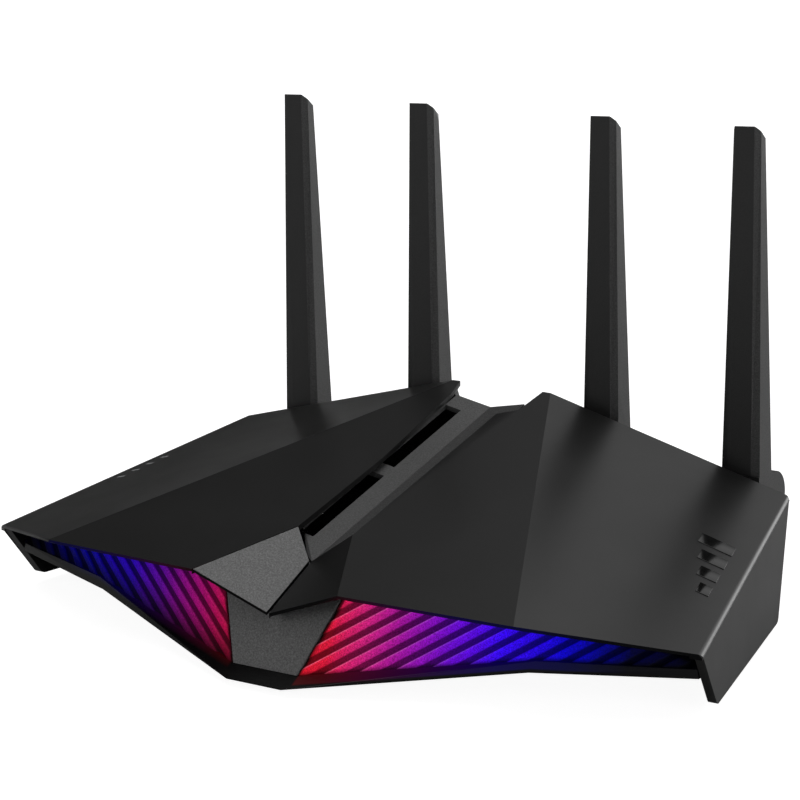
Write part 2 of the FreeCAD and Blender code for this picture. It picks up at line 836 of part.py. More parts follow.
def tray_skin():
    """The tray's floor: a flat middle, and two wings that rise to the lip and the rear corners."""
    wall = size("tray_wall")
    back = size("trim_wall")
    keel, bend, end = shifted([KEEL, LIP_BEND, LIP_END], y=back)
    middle = [mirrored([keel], -1)[0], keel, FLAT_FRONT, FLAT_REAR,
              mirrored([FLAT_REAR], -1)[0], mirrored([FLAT_FRONT], -1)[0]]
    shapes = [slab(middle, shifted(middle, z=wall))]
    for side in (1, -1):
        for ring in ([keel, bend, FLAT_FRONT], [bend, end, FLAT_FRONT],
                     [FLAT_FRONT, end, WING_REAR], [FLAT_FRONT, WING_REAR, FLAT_REAR]):
            moved = mirrored(ring, side)
            shapes.append(slab(moved, shifted(moved, z=wall)))
    return fused(shapes)


def tray_rim(side):
    """The low wall at the wing's outer edge, just inside the cover's fin."""
    wall = size("rim_wall")
    inset = wall + size("rim_gap")
    start = LIP_END + point(-inset, size("trim_wall"), size("rim_lift"))
    end = WING_REAR + point(-inset, 0, size("rim_lift"))
    ring = mirrored([start, end, end + point(wall, 0, 0), start + point(wall, 0, 0)], side)
    return slab(ring, shifted(ring, z=size("rim_height")))


def pillar(place, base, top, radius):
    return rod((place[0], place[1], base), (0, 0, 1), radius, top - base)


def floor_vents():
    """Rows of slots through the tray's flat middle, under the heat sink."""
    slots = []
    half_length = size("floor_vent_half_length")
    half_width = size("floor_vent_half_width")
    for row in range(int(size("floor_vent_count"))):
        y = size("floor_vent_first") + row * size("floor_vent_pitch")
        for centre in (-size("floor_vent_centre"), size("floor_vent_centre")):
            slots.append(block((centre - half_length, y - half_width, 0),
                               (centre + half_length, y + half_width, size("floor_cut_top"))))
    return slots


def keyholes():
    """Two wall-hanging keyholes: a round entry and a narrow slot that the screw's neck slides into."""
    cuts = []
    for side in (1, -1):
        x = side * size("keyhole_spacing") / 2
        y = size("keyhole_y")
        entry = size("keyhole_radius")
        neck = size("keyhole_neck")
        cuts.append(rod((x, y, 0), (0, 0, 1), entry, size("floor_cut_top")))
        cuts.append(block((x - neck, y, 0), (x + neck, y + size("keyhole_run"), size("floor_cut_top"))))
    return cuts


BOARD_Z = size("keel_z") + size("tray_wall") + size("board_lift")


def base_tray():
    wall = size("tray_wall")
    shapes = [tray_skin(), tray_rim(1), tray_rim(-1)]
    cuts = floor_vents() + keyholes()
    head = size("screw_head_radius") + size("head_gap")
    for x, y in CASE_SCREW_PLACES:
        low = under_tray(abs(x), y)
        shapes.append(pillar((x, y), low + wall / 2, BOSS_SPLIT, size("boss_radius")))
        cuts.append(pillar((x, y), 0, BOSS_SPLIT + 1, size("screw_radius") + size("case_screw_gap")))
        cuts.append(pillar((x, y), 0, size("case_seat"), head))
    for x, y in BOARD_SCREW_PLACES:
        low = under_tray(abs(x), y)
        shapes.append(pillar((x, y), low + wall / 2, BOARD_Z, size("boss_radius")))
        cuts.append(pillar((x, y), low + wall, BOARD_Z + 1, size("screw_radius") + size("screw_hole_gap")))
    tray = fused(shapes).cut(cuts + [front_trim(), light_bar(1), light_bar(-1)])
    return largest(tray)


solid_feature("base_tray", base_tray())

feet = []
for number, (x, y) in enumerate(FOOT_PLACES, start=1):
    place = (str(x), str(y), "0")
    foot = cylinder_feature("Foot%d" % number, place, (0, 0, 1), "foot_radius", "foot_height")
    rounded = doc.addObject("Part::Chamfer", "FootEdge%d" % number)
    rounded.Base = foot
    rounded.Edges = [(3, size("foot_edge"), size("foot_edge"))]
    feet.append(rounded)
keep(group("RubberFeet", feet), "rubber_feet")


def screws(places, seat, length):
    """Cross-slotted screws: the shank runs from the seat, upwards if the length is positive."""
    turn = 1 if length > 0 else -1
    long_half = size("screw_slot_half_length")
    thin_half = size("screw_slot_half_width")
    shapes = []
    for x, y in places:
        head = rod((x, y, seat), (0, 0, -turn), size("screw_head_radius"), size("screw_head_height"))
        slot = block((x - long_half, y - thin_half, -1), (x + long_half, y + thin_half, 1))
        slot.translate(point(0, 0, seat - turn * size("screw_head_height")))
        cross = block((x - thin_half, y - long_half, -1), (x + thin_half, y + long_half, 1))
        cross.translate(point(0, 0, seat - turn * size("screw_head_height")))
        shank = rod((x, y, seat), (0, 0, turn), size("screw_radius"), abs(length))
        shapes.append(head.fuse(shank).cut([slot, cross]))
    return Part.Compound(shapes)


solid_feature("case_screws", screws(CASE_SCREW_PLACES, size("case_seat"), size("case_screw_length")))


# ---------------------------------------------------------------- rear panel

PANEL_FRONT = size("tray_rear")
PANEL_REAR = PANEL_FRONT + size("panel_wall")


def side_underside(x, y):
    return on_side(x, y).z - COVER_WALL


def panel_outline():
    """The rear panel's outline on the right: along the tray, up the wing and under the cover."""
    gap = size("panel_clearance")
    lift = size("tray_wall") + gap / 3
    outer = WING_REAR.x - size("panel_inset")
    return [
        (0.0, FLAT_REAR.z + lift),
        (FLAT_X, FLAT_REAR.z + lift),
        (outer, under_tray(outer, PANEL_FRONT) + lift),
        (outer, side_underside(outer, PANEL_FRONT) - gap),
        (PEAK.x, side_underside(PEAK.x, PANEL_FRONT) - gap),
        (PEAK_INNER.x, side_underside(PEAK.x, PANEL_FRONT) - gap),
        (size("channel_half_width") - size("panel_middle_inset"), size("panel_middle_z")),
        (0.0, size("panel_middle_z")),
    ]


BOARD_TOP = BOARD_Z + size("board_wall")
BUTTON_Z = BOARD_TOP + size("button_height")
HINGE_Z = size("hinge_height")
ANTENNA_X = [-size("antenna_outer"), -size("antenna_inner"), size("antenna_inner"), size("antenna_outer")]


def rear_panel():
    right = [point(x, PANEL_FRONT, z) for x, z in panel_outline()]
    shapes = []
    for side in (1, -1):
        ring = mirrored(right, side)
        shapes.append(slab(ring, shifted(ring, y=size("panel_wall"))))
    cuts = []
    gap = size("panel_clearance")
    through = size("panel_wall") + 2
    for low_x, high_x, height in jack_windows():
        cuts.append(block((low_x - gap, PANEL_FRONT - 1, BOARD_TOP - gap),
                          (high_x + gap, PANEL_REAR + 1, BOARD_TOP + height + gap)))
    for x, radius in BUTTONS.values():
        cuts.append(rod((x, PANEL_FRONT - 1, BUTTON_Z), (0, 1, 0), radius + size("button_gap"), through))
    for x in ANTENNA_X:
        cuts.append(rod((x, PANEL_FRONT - 1, HINGE_Z), (0, 1, 0), size("socket_radius"), through))
    half = size("rear_vent_half_length")
    for row in range(int(size("rear_vent_count"))):
        z = size("rear_vent_first") + row * size("rear_vent_pitch")
        cuts.append(block((-half, PANEL_FRONT - 1, z), (half, PANEL_REAR + 1, z + size("rear_vent_height"))))
    return fused(shapes).cut(cuts)


def jack_windows():
    """Left, right and height of each connector that shows through the rear panel."""
    lan = 2 * size("lan_pitch")
    return [
        (-lan, lan, size("jack_height")),
        (size("wan_centre") - size("wan_width") / 2, size("wan_centre") + size("wan_width") / 2,
         size("jack_height")),
        (size("usb_centre") - size("usb_width") / 2, size("usb_centre") + size("usb_width") / 2,
         size("usb_height")),
        (-size("inlet_centre") - size("inlet_width") / 2, -size("inlet_centre") + size("inlet_width") / 2,
         size("inlet_height")),
    ]


BUTTONS = {
    "power_button": (-size("power_centre"), size("power_radius")),
    "pairing_button": (-size("pairing_centre"), size("pairing_radius")),
    "lights_button": (size("lights_centre"), size("lights_radius")),
    "reset_button": (-size("reset_centre"), size("reset_radius")),
}
solid_feature("rear_panel", rear_panel())
solid_feature("status_lenses", Part.Compound(status_lens_shapes()))


# ---------------------------------------------------------------- main board and what it carries

def main_board():
    half = size("board_half_width")
    front = -size("board_front")
    rear = size("board_rear")
    step = -size("board_step_y")
    narrow = half - size("board_taper")
    ring = [point(x, y, BOARD_TOP) for x, y in (
        (half, rear), (half, step), (narrow, front), (-narrow, front), (-half, step), (-half, rear))]
    board = plate(ring, size("board_wall"))
    hole = size("screw_radius") + size("board_hole_gap")
    places = BOARD_SCREW_PLACES + SINK_SCREW_PLACES
    return board.cut([rod((x, y, BOARD_Z - 1), (0, 0, 1), hole, 4) for x, y in places])


# low X, high X, low Y and high Y of the three shield cans
CANS = [(-28.0, -4.0, -24.0, 0.0), (4.0, 28.0, -24.0, 0.0), (-22.0, 22.0, 4.0, 25.0)]
# middle X and Y, width, depth and height of each chip or coil
CHIPS = [
    (52.0, 8.0, 12.0, 9.0, 1.4), (52.0, -8.0, 12.0, 9.0, 1.4), (-52.0, 0.0, 14.0, 14.0, 1.4),
    (0.0, -36.0, 16.0, 6.0, 3.0), (-50.0, 22.0, 7.0, 7.0, 4.0), (50.0, 26.0, 7.0, 7.0, 4.0),
]
CAPACITOR_PLACES = [(-40.0, 34.0), (-49.0, 34.0), (56.0, 38.0), (-58.0, 12.0), (-58.0, -14.0), (60.0, 20.0)]


def shield_cans():
    shapes = []
    wall = size("can_wall")
    for x0, x1, y0, y1 in CANS:
        outer = block((x0, y0, BOARD_TOP), (x1, y1, BOARD_TOP + size("can_height")))
        inner = block((x0 + wall, y0 + wall, BOARD_TOP - 1),
                      (x1 - wall, y1 - wall, BOARD_TOP + size("can_height") - wall))
        shapes.append(outer.cut(inner))
    return Part.Compound(shapes)


def thermal_pads():
    low = BOARD_TOP + size("can_height")
    inset = size("pad_inset")
    high = low + size("pad_wall")
    return Part.Compound([block((x0 + inset, y0 + inset, low), (x1 - inset, y1 - inset, high))
                          for x0, x1, y0, y1 in CANS])


def board_components():
    """Chips, coils and capacitors around the heat sink."""
    shapes = []
    for x, y, width, depth, height in CHIPS:
        shapes.append(block((x - width / 2, y - depth / 2, BOARD_TOP),
                            (x + width / 2, y + depth / 2, BOARD_TOP + height)))
    for x, y in CAPACITOR_PLACES:
        shapes.append(rod((x, y, BOARD_TOP), (0, 0, 1), size("capacitor_radius"), size("capacitor_height")))
    return Part.Compound(shapes)


solid_feature("main_board", main_board())
solid_feature("shield_cans", shield_cans())
solid_feature("thermal_pads", thermal_pads())
solid_feature("board_components", board_components())
solid_feature("board_screws", screws(BOARD_SCREW_PLACES, BOARD_TOP, -size("board_screw_length")))
SINK_Z = BOARD_TOP + size("can_height") + size("pad_wall")


def heat_sink():
    """A finned plate: the base, one fin and a linear pattern of it, then the screw holes."""
    body = doc.addObject("PartDesign::Body", "HeatSink")
    bind(body, "Placement.Base.z",
         "foot_height + tray_wall + board_lift + board_wall + can_height + pad_wall")
    outline = rectangle_sketch(body, "SinkOutline", "XY_Plane", "sink_width", "sink_length")
    pad(body, "SinkBase", outline, "sink_base")
    fin_sketch = rectangle_sketch(body, "FinOutline", "XY_Plane", "sink_fin_wall", "sink_length",
                                  "sink_base")
    bind(fin_sketch, "AttachmentOffset.Base.x", "-(sink_fin_count - 1) * sink_fin_pitch / 2")
    fin_pad = pad(body, "SinkFin", fin_sketch, "sink_fin")
    doc.recompute()
    rows = body.newObject("PartDesign::LinearPattern", "SinkFins")
    rows.Originals = [fin_pad]
    rows.Direction = (fin_sketch, ["H_Axis"])
    bind(rows, "Length", "(sink_fin_count - 1) * sink_fin_pitch")
    bind(rows, "Occurrences", "sink_fin_count")
    body.Tip = rows
    doc.recompute()
    holes = body_sketch(body, "SinkHoles", "XY_Plane")
    for number, (x, y) in enumerate(SINK_SCREW_PLACES):
        holes.addGeometry(Part.Circle(point(x, y, 0), point(0, 0, 1), size("sink_hole")), False)
        constrain(holes, "Radius", "sink_hole", number)
    pocket = body.newObject("PartDesign::Pocket", "SinkHolesThrough")
    pocket.Profile = holes
    pocket.Reversed = True
    bind(pocket, "Length", "sink_base + sink_fin")
    body.Tip = pocket
    return body


keep(heat_sink(), "heat_sink")
solid_feature("heat_sink_screws",
              screws(SINK_SCREW_PLACES, SINK_Z + size("sink_base"), -size("sink_screw_length")))


# ---------------------------------------------------------------- connectors

JACK_FRONT = PANEL_REAR - size("jack_depth")


def socket_cavity(x):
    """The inside of one network socket: the plug's space and the latch's notch below it."""
    half = size("socket_width") / 2
    low = BOARD_TOP + size("socket_sill")
    inner = PANEL_REAR - size("socket_depth")
    plug = block((x - half, inner, low), (x + half, PANEL_REAR + 1, low + size("socket_height")))
    latch = size("latch_width") / 2
    notch = block((x - latch, inner, low - size("latch_height")), (x + latch, PANEL_REAR + 1, low + 1))
    return plug.fuse(notch)


LAN_X = [size("lan_pitch") * step for step in (-1.5, -0.5, 0.5, 1.5)]


def jack(low_x, high_x, socket_places):
    shell = block((low_x, JACK_FRONT, BOARD_TOP), (high_x, PANEL_REAR, BOARD_TOP + size("jack_height")))
    return shell.cut([socket_cavity(x) for x in socket_places])


def jack_contacts():
    """Eight sprung wires in the roof of each network socket."""
    wires = []
    half = size("contact_wall") / 2
    roof = BOARD_TOP + size("socket_sill") + size("socket_height")
    inner = PANEL_REAR - size("socket_depth")
    tip = inner + size("contact_length")
    drop = size("contact_drop")
    for x in LAN_X + [size("wan_centre")]:
        for i in range(8):
            centre = x + (i - 3.5) * size("contact_pitch")
            left = centre - half
            ring = [point(left, inner, roof - size("contact_root")), point(left, tip, roof - drop),
                    point(left, tip, roof - drop + size("contact_tip")), point(left, inner, roof)]
            wires.append(slab(ring, shifted(ring, x=2 * half)))
    return Part.Compound(wires)


lan_windows = jack_windows()
solid_feature("lan_jack", jack(lan_windows[0][0], lan_windows[0][1], LAN_X))
solid_feature("wan_jack", jack(lan_windows[1][0], lan_windows[1][1], [size("wan_centre")]))
solid_feature("jack_contacts", jack_contacts())

USB_SHELL = box_feature("UsbShell", (
    "usb_centre - usb_width / 2", "tray_rear + panel_wall - usb_depth",
    "foot_height + tray_wall + board_lift + board_wall"), ("usb_width", "usb_depth", "usb_height"))
USB_INSIDE = box_feature("UsbInside", (
    "usb_centre - usb_width / 2 + usb_shell", "tray_rear + panel_wall - usb_depth + usb_shell",
    "foot_height + tray_wall + board_lift + board_wall + usb_shell"), (
    "usb_width - 2 * usb_shell", "usb_depth", "usb_height - 2 * usb_shell"))
keep(difference("UsbSocket", USB_SHELL, USB_INSIDE), "usb_socket")
keep(box_feature("UsbTongue", (
    "usb_centre - usb_width / 2 + 2 * usb_shell", "tray_rear + panel_wall - usb_depth + usb_shell",
    "foot_height + tray_wall + board_lift + board_wall + usb_height - 2 * usb_shell - tongue_height"), (
    "usb_width - 4 * usb_shell", "usb_depth - 4 * usb_shell", "tongue_height")), "usb_tongue")


def power_inlet():
    """The round low-voltage inlet: a block with a bore, and the pin standing in the bore."""
    x = -size("inlet_centre")
    half = size("inlet_width") / 2
    z = BOARD_TOP + size("inlet_height") / 2
    depth = size("inlet_depth")
    housing = block((x - half, PANEL_REAR - depth - size("inlet_back"), BOARD_TOP),
                    (x + half, PANEL_REAR, BOARD_TOP + size("inlet_height")))
    bore = rod((x, PANEL_REAR - depth, z), (0, 1, 0), size("inlet_bore"), depth + 1)
    pin = rod((x, PANEL_REAR - depth, z), (0, 1, 0), size("inlet_pin"), depth - size("inlet_pin_sunk"))
    return Part.Compound([housing.cut(bore), pin])


solid_feature("power_inlet", power_inlet())


# ---------------------------------------------------------------- buttons

def push_button(label, x, radius_alias, reach):
    """A round cap with a retaining flange behind the rear panel; it slides in along -Y."""
    name = label.title().replace("_", "")
    body = doc.addObject("PartDesign::Body", name)
    flange_sketch = circle_sketch(body, name + "FlangeCircle", "XZ_Plane", radius_alias)
    bind(flange_sketch, "Constraints[1]", radius_alias + " + button_flange")
    flange = pad(body, name + "Flange", flange_sketch, "button_flange_depth", backwards=True)
    doc.recompute()
    cap_sketch = circle_sketch(body, name + "CapCircle", "XZ_Plane", radius_alias, "-button_flange_depth")
    cap = pad(body, name + "Cap", cap_sketch, reach, backwards=True)
    doc.recompute()
    rim = [i for i, edge in enumerate(cap.Shape.Edges, start=1)
           if len(edge.Vertexes) == 1 and abs(edge.BoundBox.YMin - cap.Shape.BoundBox.YMax) < 1e-4]
    blend = body.newObject("PartDesign::Fillet", name + "Rim")
    blend.Base = (cap, ["Edge%d" % i for i in rim])
    bind(blend, "Radius", "button_rim")
    body.Tip = blend
    bind(body, "Placement.Base.y", "tray_rear - button_gap - button_flange_depth")
    bind(body, "Placement.Base.z", "foot_height + tray_wall + board_lift + board_wall + button_height")
    bind(body, "Placement.Base.x", x)
    return keep(body, label)


FULL_REACH = "panel_wall + button_gap + button_proud"
SUNK_REACH = "panel_wall + button_gap - button_sunk"
push_button("power_button", "-power_centre", "power_radius", FULL_REACH)
push_button("pairing_button", "-pairing_centre", "pairing_radius", FULL_REACH)
push_button("lights_button", "lights_centre", "lights_radius", FULL_REACH)
push_button("reset_button", "-reset_centre", "reset_radius", SUNK_REACH)


def button_switches():
    """A board-mounted switch behind each button, with its face just beyond the button's travel."""
    face = PANEL_FRONT - size("button_gap") - size("button_flange_depth") - size("button_travel_room")
    shapes = []
    for x, radius in BUTTONS.values():
        half = min(size("switch_width") / 2, radius + size("switch_margin"))
        shapes.append(block((x - half, face - size("switch_depth"), BOARD_TOP),
                            (x + half, face, BUTTON_Z + half)))
    return Part.Compound(shapes)


solid_feature("button_switches", button_switches())


# ---------------------------------------------------------------- antennas

HINGE_Y = size("overall_depth") / 2 - size("barrel_radius")
BLADE_FRONT = size("antenna_front") - HINGE_Y
BLADE_TOP = size("overall_height") - HINGE_Z
BLADE_ROOT = size("blade_root")


def blade_ring(level, front_half, side_half, bevel, depth, drop=0.0):
    """One six-sided section of the blade, at a height above the hinge, sloping down to the back."""
    y = BLADE_FRONT
    half_ring = [(front_half, y), (side_half, y + bevel), (side_half, y + depth)]
    outline = half_ring + [(-px, py) for px, py in reversed(half_ring)]
    return [point(px, py, level - drop * (py - y) / depth) for px, py in outline]


def along_blade(level, root, tip):
    share = (level - BLADE_ROOT) / (BLADE_TOP - BLADE_ROOT)
    return root + share * (tip - root)


def blade_solid():
    root = blade_ring(BLADE_ROOT, size("blade_front_root"), size("blade_side_root"),
                      size("blade_bevel_root"), size("blade_depth_root"))
    tip = blade_ring(BLADE_TOP, size("blade_front_tip"), size("blade_side_tip"),
                     size("blade_bevel_tip"), size("blade_depth_tip"), size("blade_tip_drop"))
    return slab(root, tip)


def seam_depth(level):
    """How far behind the blade's front face the two shells meet."""
    return along_blade(level, size("seam_root"), size("seam_tip"))


def front_zone():
    """Everything in front of the seam between the blade's two shells."""
    reach = 30.0
    above = BLADE_TOP + 5.0
    low = BLADE_FRONT + seam_depth(BLADE_ROOT)
    high = BLADE_FRONT + seam_depth(above)
    ring = [point(-reach, low, BLADE_ROOT), point(reach, low, BLADE_ROOT),
            point(reach, high, above), point(-reach, high, above)]
    return slab(ring, shifted(ring, y=-reach))


def blade_cavity():
    wall = size("blade_wall")
    rings = []
    for level in (size("cavity_bottom"), size("cavity_top")):
        half = along_blade(level, size("blade_side_root"), size("blade_side_tip")) - wall
        front = BLADE_FRONT + seam_depth(level)
        back = BLADE_FRONT + along_blade(level, size("blade_depth_root"), size("blade_depth_tip")) - wall
        rings.append([point(-half, front, level), point(half, front, level),
                      point(half, back, level), point(-half, back, level)])
    return slab(rings[0], rings[1])


def ear_block():
    """The foot of the blade: a barrel about the hinge pin, slotted for the knuckle."""
    half = size("blade_side_root")
    radius = size("barrel_radius")
    top = BLADE_ROOT
    back = BLADE_FRONT + size("blade_depth_root")
    heel = math.radians(size("heel_angle"))
    toe = math.radians(size("toe_angle"))
    outline = [(BLADE_FRONT, -size("heel_drop")), (BLADE_FRONT, top), (back, top),
               (radius * math.cos(heel), radius * math.sin(heel)),
               (0, 0), (-radius * math.cos(toe), -radius * math.sin(toe))]
    ring = [point(-half, y, z) for y, z in outline]
    foot = slab(ring, shifted(ring, x=2 * half))
    barrel = rod((-half, 0, 0), (1, 0, 0), radius, 2 * half)
    slot = size("slot_half_width")
    reach = size("slot_radius")
    away = 25.0
    gap = [rod((-slot, 0, 0), (1, 0, 0), reach, 2 * slot),
           block((-slot, -away, -away), (slot, 0, reach)),
           block((-slot, -away, -away), (slot, away, 0))]
    bore = rod((-half - 1, 0, 0), (1, 0, 0), size("pin_radius"), 2 * half + 2)
    return foot.fuse(barrel).cut(gap + [bore])


def knuckle():
    """The swivelling piece: a stub that turns in the rear panel's bush, and the eye for the pin."""
    inner = KNUCKLE_INNER - HINGE_Y
    shoulder = PANEL_REAR + size("flange_wall") + size("end_play") - HINGE_Y
    disc_end = shoulder + size("disc_wall")
    overlap = 0.5
    stub = rod((0, inner, 0), (0, 1, 0), size("stub_radius"), shoulder - inner + overlap)
    collar = rod((0, inner, 0), (0, 1, 0), size("collar_radius"), size("collar_wall"))
    disc = rod((0, shoulder, 0), (0, 1, 0), size("flange_radius"), size("disc_wall"))
    eye_half = size("eye_half_width")
    neck_half = size("neck_half_height")
    neck = block((-eye_half, disc_end - overlap, -neck_half), (eye_half, 0, neck_half))
    eye = rod((-eye_half, 0, 0), (1, 0, 0), size("eye_radius"), 2 * eye_half)
    whole = fused([stub, collar, disc, neck, eye])
    bore = rod((-20, 0, 0), (1, 0, 0), size("pin_radius") + size("pin_clearance"), 40)
    lead_way = rod((0, inner - 1, 0), (0, 1, 0), size("lead_radius") + size("lead_gap"), 12)
    return whole.cut([bore, lead_way])


def bush():
    """The fixed bush in the rear panel, with its flange outside."""
    length = PANEL_REAR - BUSH_INNER
    body = rod((0, BUSH_INNER - HINGE_Y, 0), (0, 1, 0), size("socket_radius"), length)
    flange = rod((0, PANEL_REAR - HINGE_Y, 0), (0, 1, 0), size("flange_radius"), size("flange_wall"))
    bore = rod((0, BUSH_INNER - HINGE_Y - 1, 0), (0, 1, 0), size("stub_radius") + size("stub_clearance"), 20)
    return body.fuse(flange).removeSplitter().cut(bore)


def radiator():
    """The aerial board inside the blade, a thin strip on the back of the front shell."""
    back = BLADE_FRONT + size("radiator_back")
    half = size("radiator_half_width")
    low = size("cavity_bottom") + size("radiator_lift")
    return block((-half, back - size("radiator_wall"), low), (half, back, size("radiator_top")))


BUSH_INNER = PANEL_FRONT - size("bush_reach")
KNUCKLE_INNER = BUSH_INNER - size("end_play") - size("collar_wall")
blade = blade_solid()
front_shell = blade.common(front_zone())
rear_shell = blade.cut([front_zone(), blade_cavity()]).fuse(ear_block()).removeSplitter()
pin_half = size("blade_side_root") - size("pin_inset")
pin = rod((-pin_half, 0, 0), (1, 0, 0), size("pin_radius"), 2 * pin_half)
ANTENNA_PIECES = {
    "antenna_front_shell": front_shell,
    "antenna_rear_shell": rear_shell,
    "antenna_radiator": radiator(),
    "hinge_pin": pin,
    "antenna_knuckle": knuckle(),
    "antenna_bush": bush(),
}
for number, x in enumerate(ANTENNA_X, start=1):
    for label, shape in ANTENNA_PIECES.items():
        solid_feature("%s_%d" % (label, number), shape, point(x, HINGE_Y, HINGE_Z))


# ---------------------------------------------------------------- aerial leads and the blank label

def bent_tube(points, radius, bend):
    """A tube of straight runs joined by tangent arcs."""
    edges = []
    start = points[0]
    for before, corner, after in zip(points, points[1:], points[2:]):
        inward = (before - corner).normalize()
        outward = (after - corner).normalize()
        half_angle = inward.getAngle(outward) / 2
        trim = bend / math.tan(half_angle)
        first = corner + inward * trim
        last = corner + outward * trim
        middle = (inward + outward).normalize()
        centre = corner + middle * (bend / math.sin(half_angle))
        edges.append(Part.LineSegment(start, first).toShape())
        edges.append(Part.Arc(first, centre - middle * bend, last).toShape())
        start = last
    edges.append(Part.LineSegment(start, points[-1]).toShape())
    path = Part.Wire(edges)
    heading = (points[1] - points[0]).normalize()
    section = Part.Wire([Part.makeCircle(radius, points[0], heading)])
    return path.makePipeShell([section], True, True)


OUTER_LEAD_FOOT = (60.0, 26.0)
INNER_LEAD_FOOT = (30.0, 33.0)


def antenna_leads():
    """A thin coaxial lead from a board connector to the back of each antenna's knuckle."""
    shapes = []
    for x in ANTENNA_X:
        foot_x, foot_y = OUTER_LEAD_FOOT if abs(x) > size("antenna_inner") else INNER_LEAD_FOOT
        foot_x = math.copysign(foot_x, x)
        route = [point(foot_x, foot_y, BOARD_TOP + size("lead_foot_lift")), point(foot_x, foot_y, HINGE_Z),
                 point(x, size("lead_turn_y"), HINGE_Z),
                 point(x, KNUCKLE_INNER - size("lead_end_gap"), HINGE_Z)]
        tube = bent_tube(route, size("lead_radius"), size("lead_bend"))
        plug = rod((foot_x, foot_y, BOARD_TOP), (0, 0, 1), size("plug_radius"), size("plug_height"))
        shapes.append(tube.fuse(plug))
    return Part.Compound(shapes)


solid_feature("antenna_leads", antenna_leads())
keep(box_feature("RatingLabel", ("-label_width / 2", "label_y", "foot_height - label_wall"),
                 ("label_width", "label_depth", "label_wall")), "rating_label")

# ---------------------------------------------------------------- checks and files

doc.recompute()
for feature in doc.Objects:
    if "Invalid" in feature.State or "Error" in feature.State:
        raise RuntimeError("%s failed to recompute: %s" % (feature.Label, feature.State))
for piece in pieces:
    if piece.Shape.isNull() or not piece.Shape.isValid() or piece.Shape.Volume <= 0:
        raise RuntimeError("%s has no valid shape" % piece.Label)
os.makedirs("parts", exist_ok=True)
for piece in pieces:
    piece.Shape.exportStep("parts/%s.step" % piece.Label)
    print("%-24s %3d solids %10.1f mm3" % (piece.Label, len(piece.Shape.Solids), piece.Shape.Volume))
print(len(pieces), "pieces")
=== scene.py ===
"""Looks for the low desktop router with four blade antennas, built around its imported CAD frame.

Blender works in metres here; sizes are written in millimetres and multiplied by MM.
"""

import json
import math

import bmesh
import bpy
from mathutils import Matrix, Vector
from mathutils.bvhtree import BVHTree

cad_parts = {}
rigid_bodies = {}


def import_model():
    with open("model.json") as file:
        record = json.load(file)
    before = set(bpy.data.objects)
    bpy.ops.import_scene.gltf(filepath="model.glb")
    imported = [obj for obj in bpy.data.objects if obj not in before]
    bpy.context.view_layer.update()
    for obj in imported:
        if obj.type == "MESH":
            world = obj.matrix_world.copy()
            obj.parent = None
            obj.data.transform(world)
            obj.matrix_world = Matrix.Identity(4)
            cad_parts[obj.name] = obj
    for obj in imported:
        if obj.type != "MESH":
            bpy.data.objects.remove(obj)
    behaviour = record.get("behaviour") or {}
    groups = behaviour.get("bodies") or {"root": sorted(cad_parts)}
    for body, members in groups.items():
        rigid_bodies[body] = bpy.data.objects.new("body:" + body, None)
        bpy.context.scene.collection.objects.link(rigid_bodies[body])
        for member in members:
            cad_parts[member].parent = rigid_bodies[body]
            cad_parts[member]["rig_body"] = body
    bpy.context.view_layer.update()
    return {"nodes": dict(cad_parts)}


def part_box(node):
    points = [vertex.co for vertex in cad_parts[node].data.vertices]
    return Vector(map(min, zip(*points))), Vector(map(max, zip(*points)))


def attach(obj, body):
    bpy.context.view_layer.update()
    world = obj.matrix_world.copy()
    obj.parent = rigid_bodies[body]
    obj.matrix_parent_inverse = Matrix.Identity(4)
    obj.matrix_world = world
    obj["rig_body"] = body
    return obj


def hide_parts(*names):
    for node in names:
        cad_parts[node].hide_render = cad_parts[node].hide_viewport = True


MM = 0.001
SIDES = {"left": -1, "right": 1}
ANTENNAS = (1, 2, 3, 4)

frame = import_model()
nodes = frame["nodes"]


# ---------------------------------------------------------------- materials

def new_material(name, color, roughness, metallic=0.0, specular=0.5):
    """A principled material; what is constant is set on the shader's own sockets."""
    material = bpy.data.materials.new(name)
    material.use_nodes = True
    shader = material.node_tree.nodes["Principled BSDF"]
    shader.inputs["Base Color"].default_value = (*color, 1)
    shader.inputs["Roughness"].default_value = roughness
    shader.inputs["Metallic"].default_value = metallic
    shader.inputs["Specular IOR Level"].default_value = specular
    return material


def add_node(material, kind, **settings):
    made = material.node_tree.nodes.new(kind)
    for key, value in settings.items():
        setattr(made, key, value)
    return made


def wire(material, source, target):
    material.node_tree.links.new(source, target)


def shader_of(material):
    return material.node_tree.nodes["Principled BSDF"]


def place_output(material):
    """The point on the surface in the row frame's metres."""
    return add_node(material, "ShaderNodeTexCoord").outputs["Object"]


def noise(material, size, detail=3.0, roughness=0.55):
    """Noise whose grains are about size millimetres across."""
    field = add_node(material, "ShaderNodeTexNoise")
    field.inputs["Scale"].default_value = 1 / (size * MM)
    field.inputs["Detail"].default_value = detail
    field.inputs["Roughness"].default_value = roughness
    wire(material, place_output(material), field.inputs["Vector"])
    return field.outputs["Fac"]


def remapped(material, value, low, high, start=0.3, end=0.7):
    """value from start to end becomes low to high."""
    scale = add_node(material, "ShaderNodeMapRange")
    scale.inputs["From Min"].default_value = start
    scale.inputs["From Max"].default_value = end
    scale.inputs["To Min"].default_value = low
    scale.inputs["To Max"].default_value = high
    wire(material, value, scale.inputs["Value"])
    return scale.outputs["Result"]


def ramp(material, value, stops):
    """A colour ramp of (place, colour) stops."""
    band = add_node(material, "ShaderNodeValToRGB")
    elements = band.color_ramp.elements
    while len(elements) > 1:
        elements.remove(elements[-1])
    for i, (place, color) in enumerate(stops):
        element = elements[0] if i == 0 else elements.new(place)
        element.position = place
        element.color = (*color, 1)
    wire(material, value, band.inputs["Fac"])
    return band.outputs["Color"]


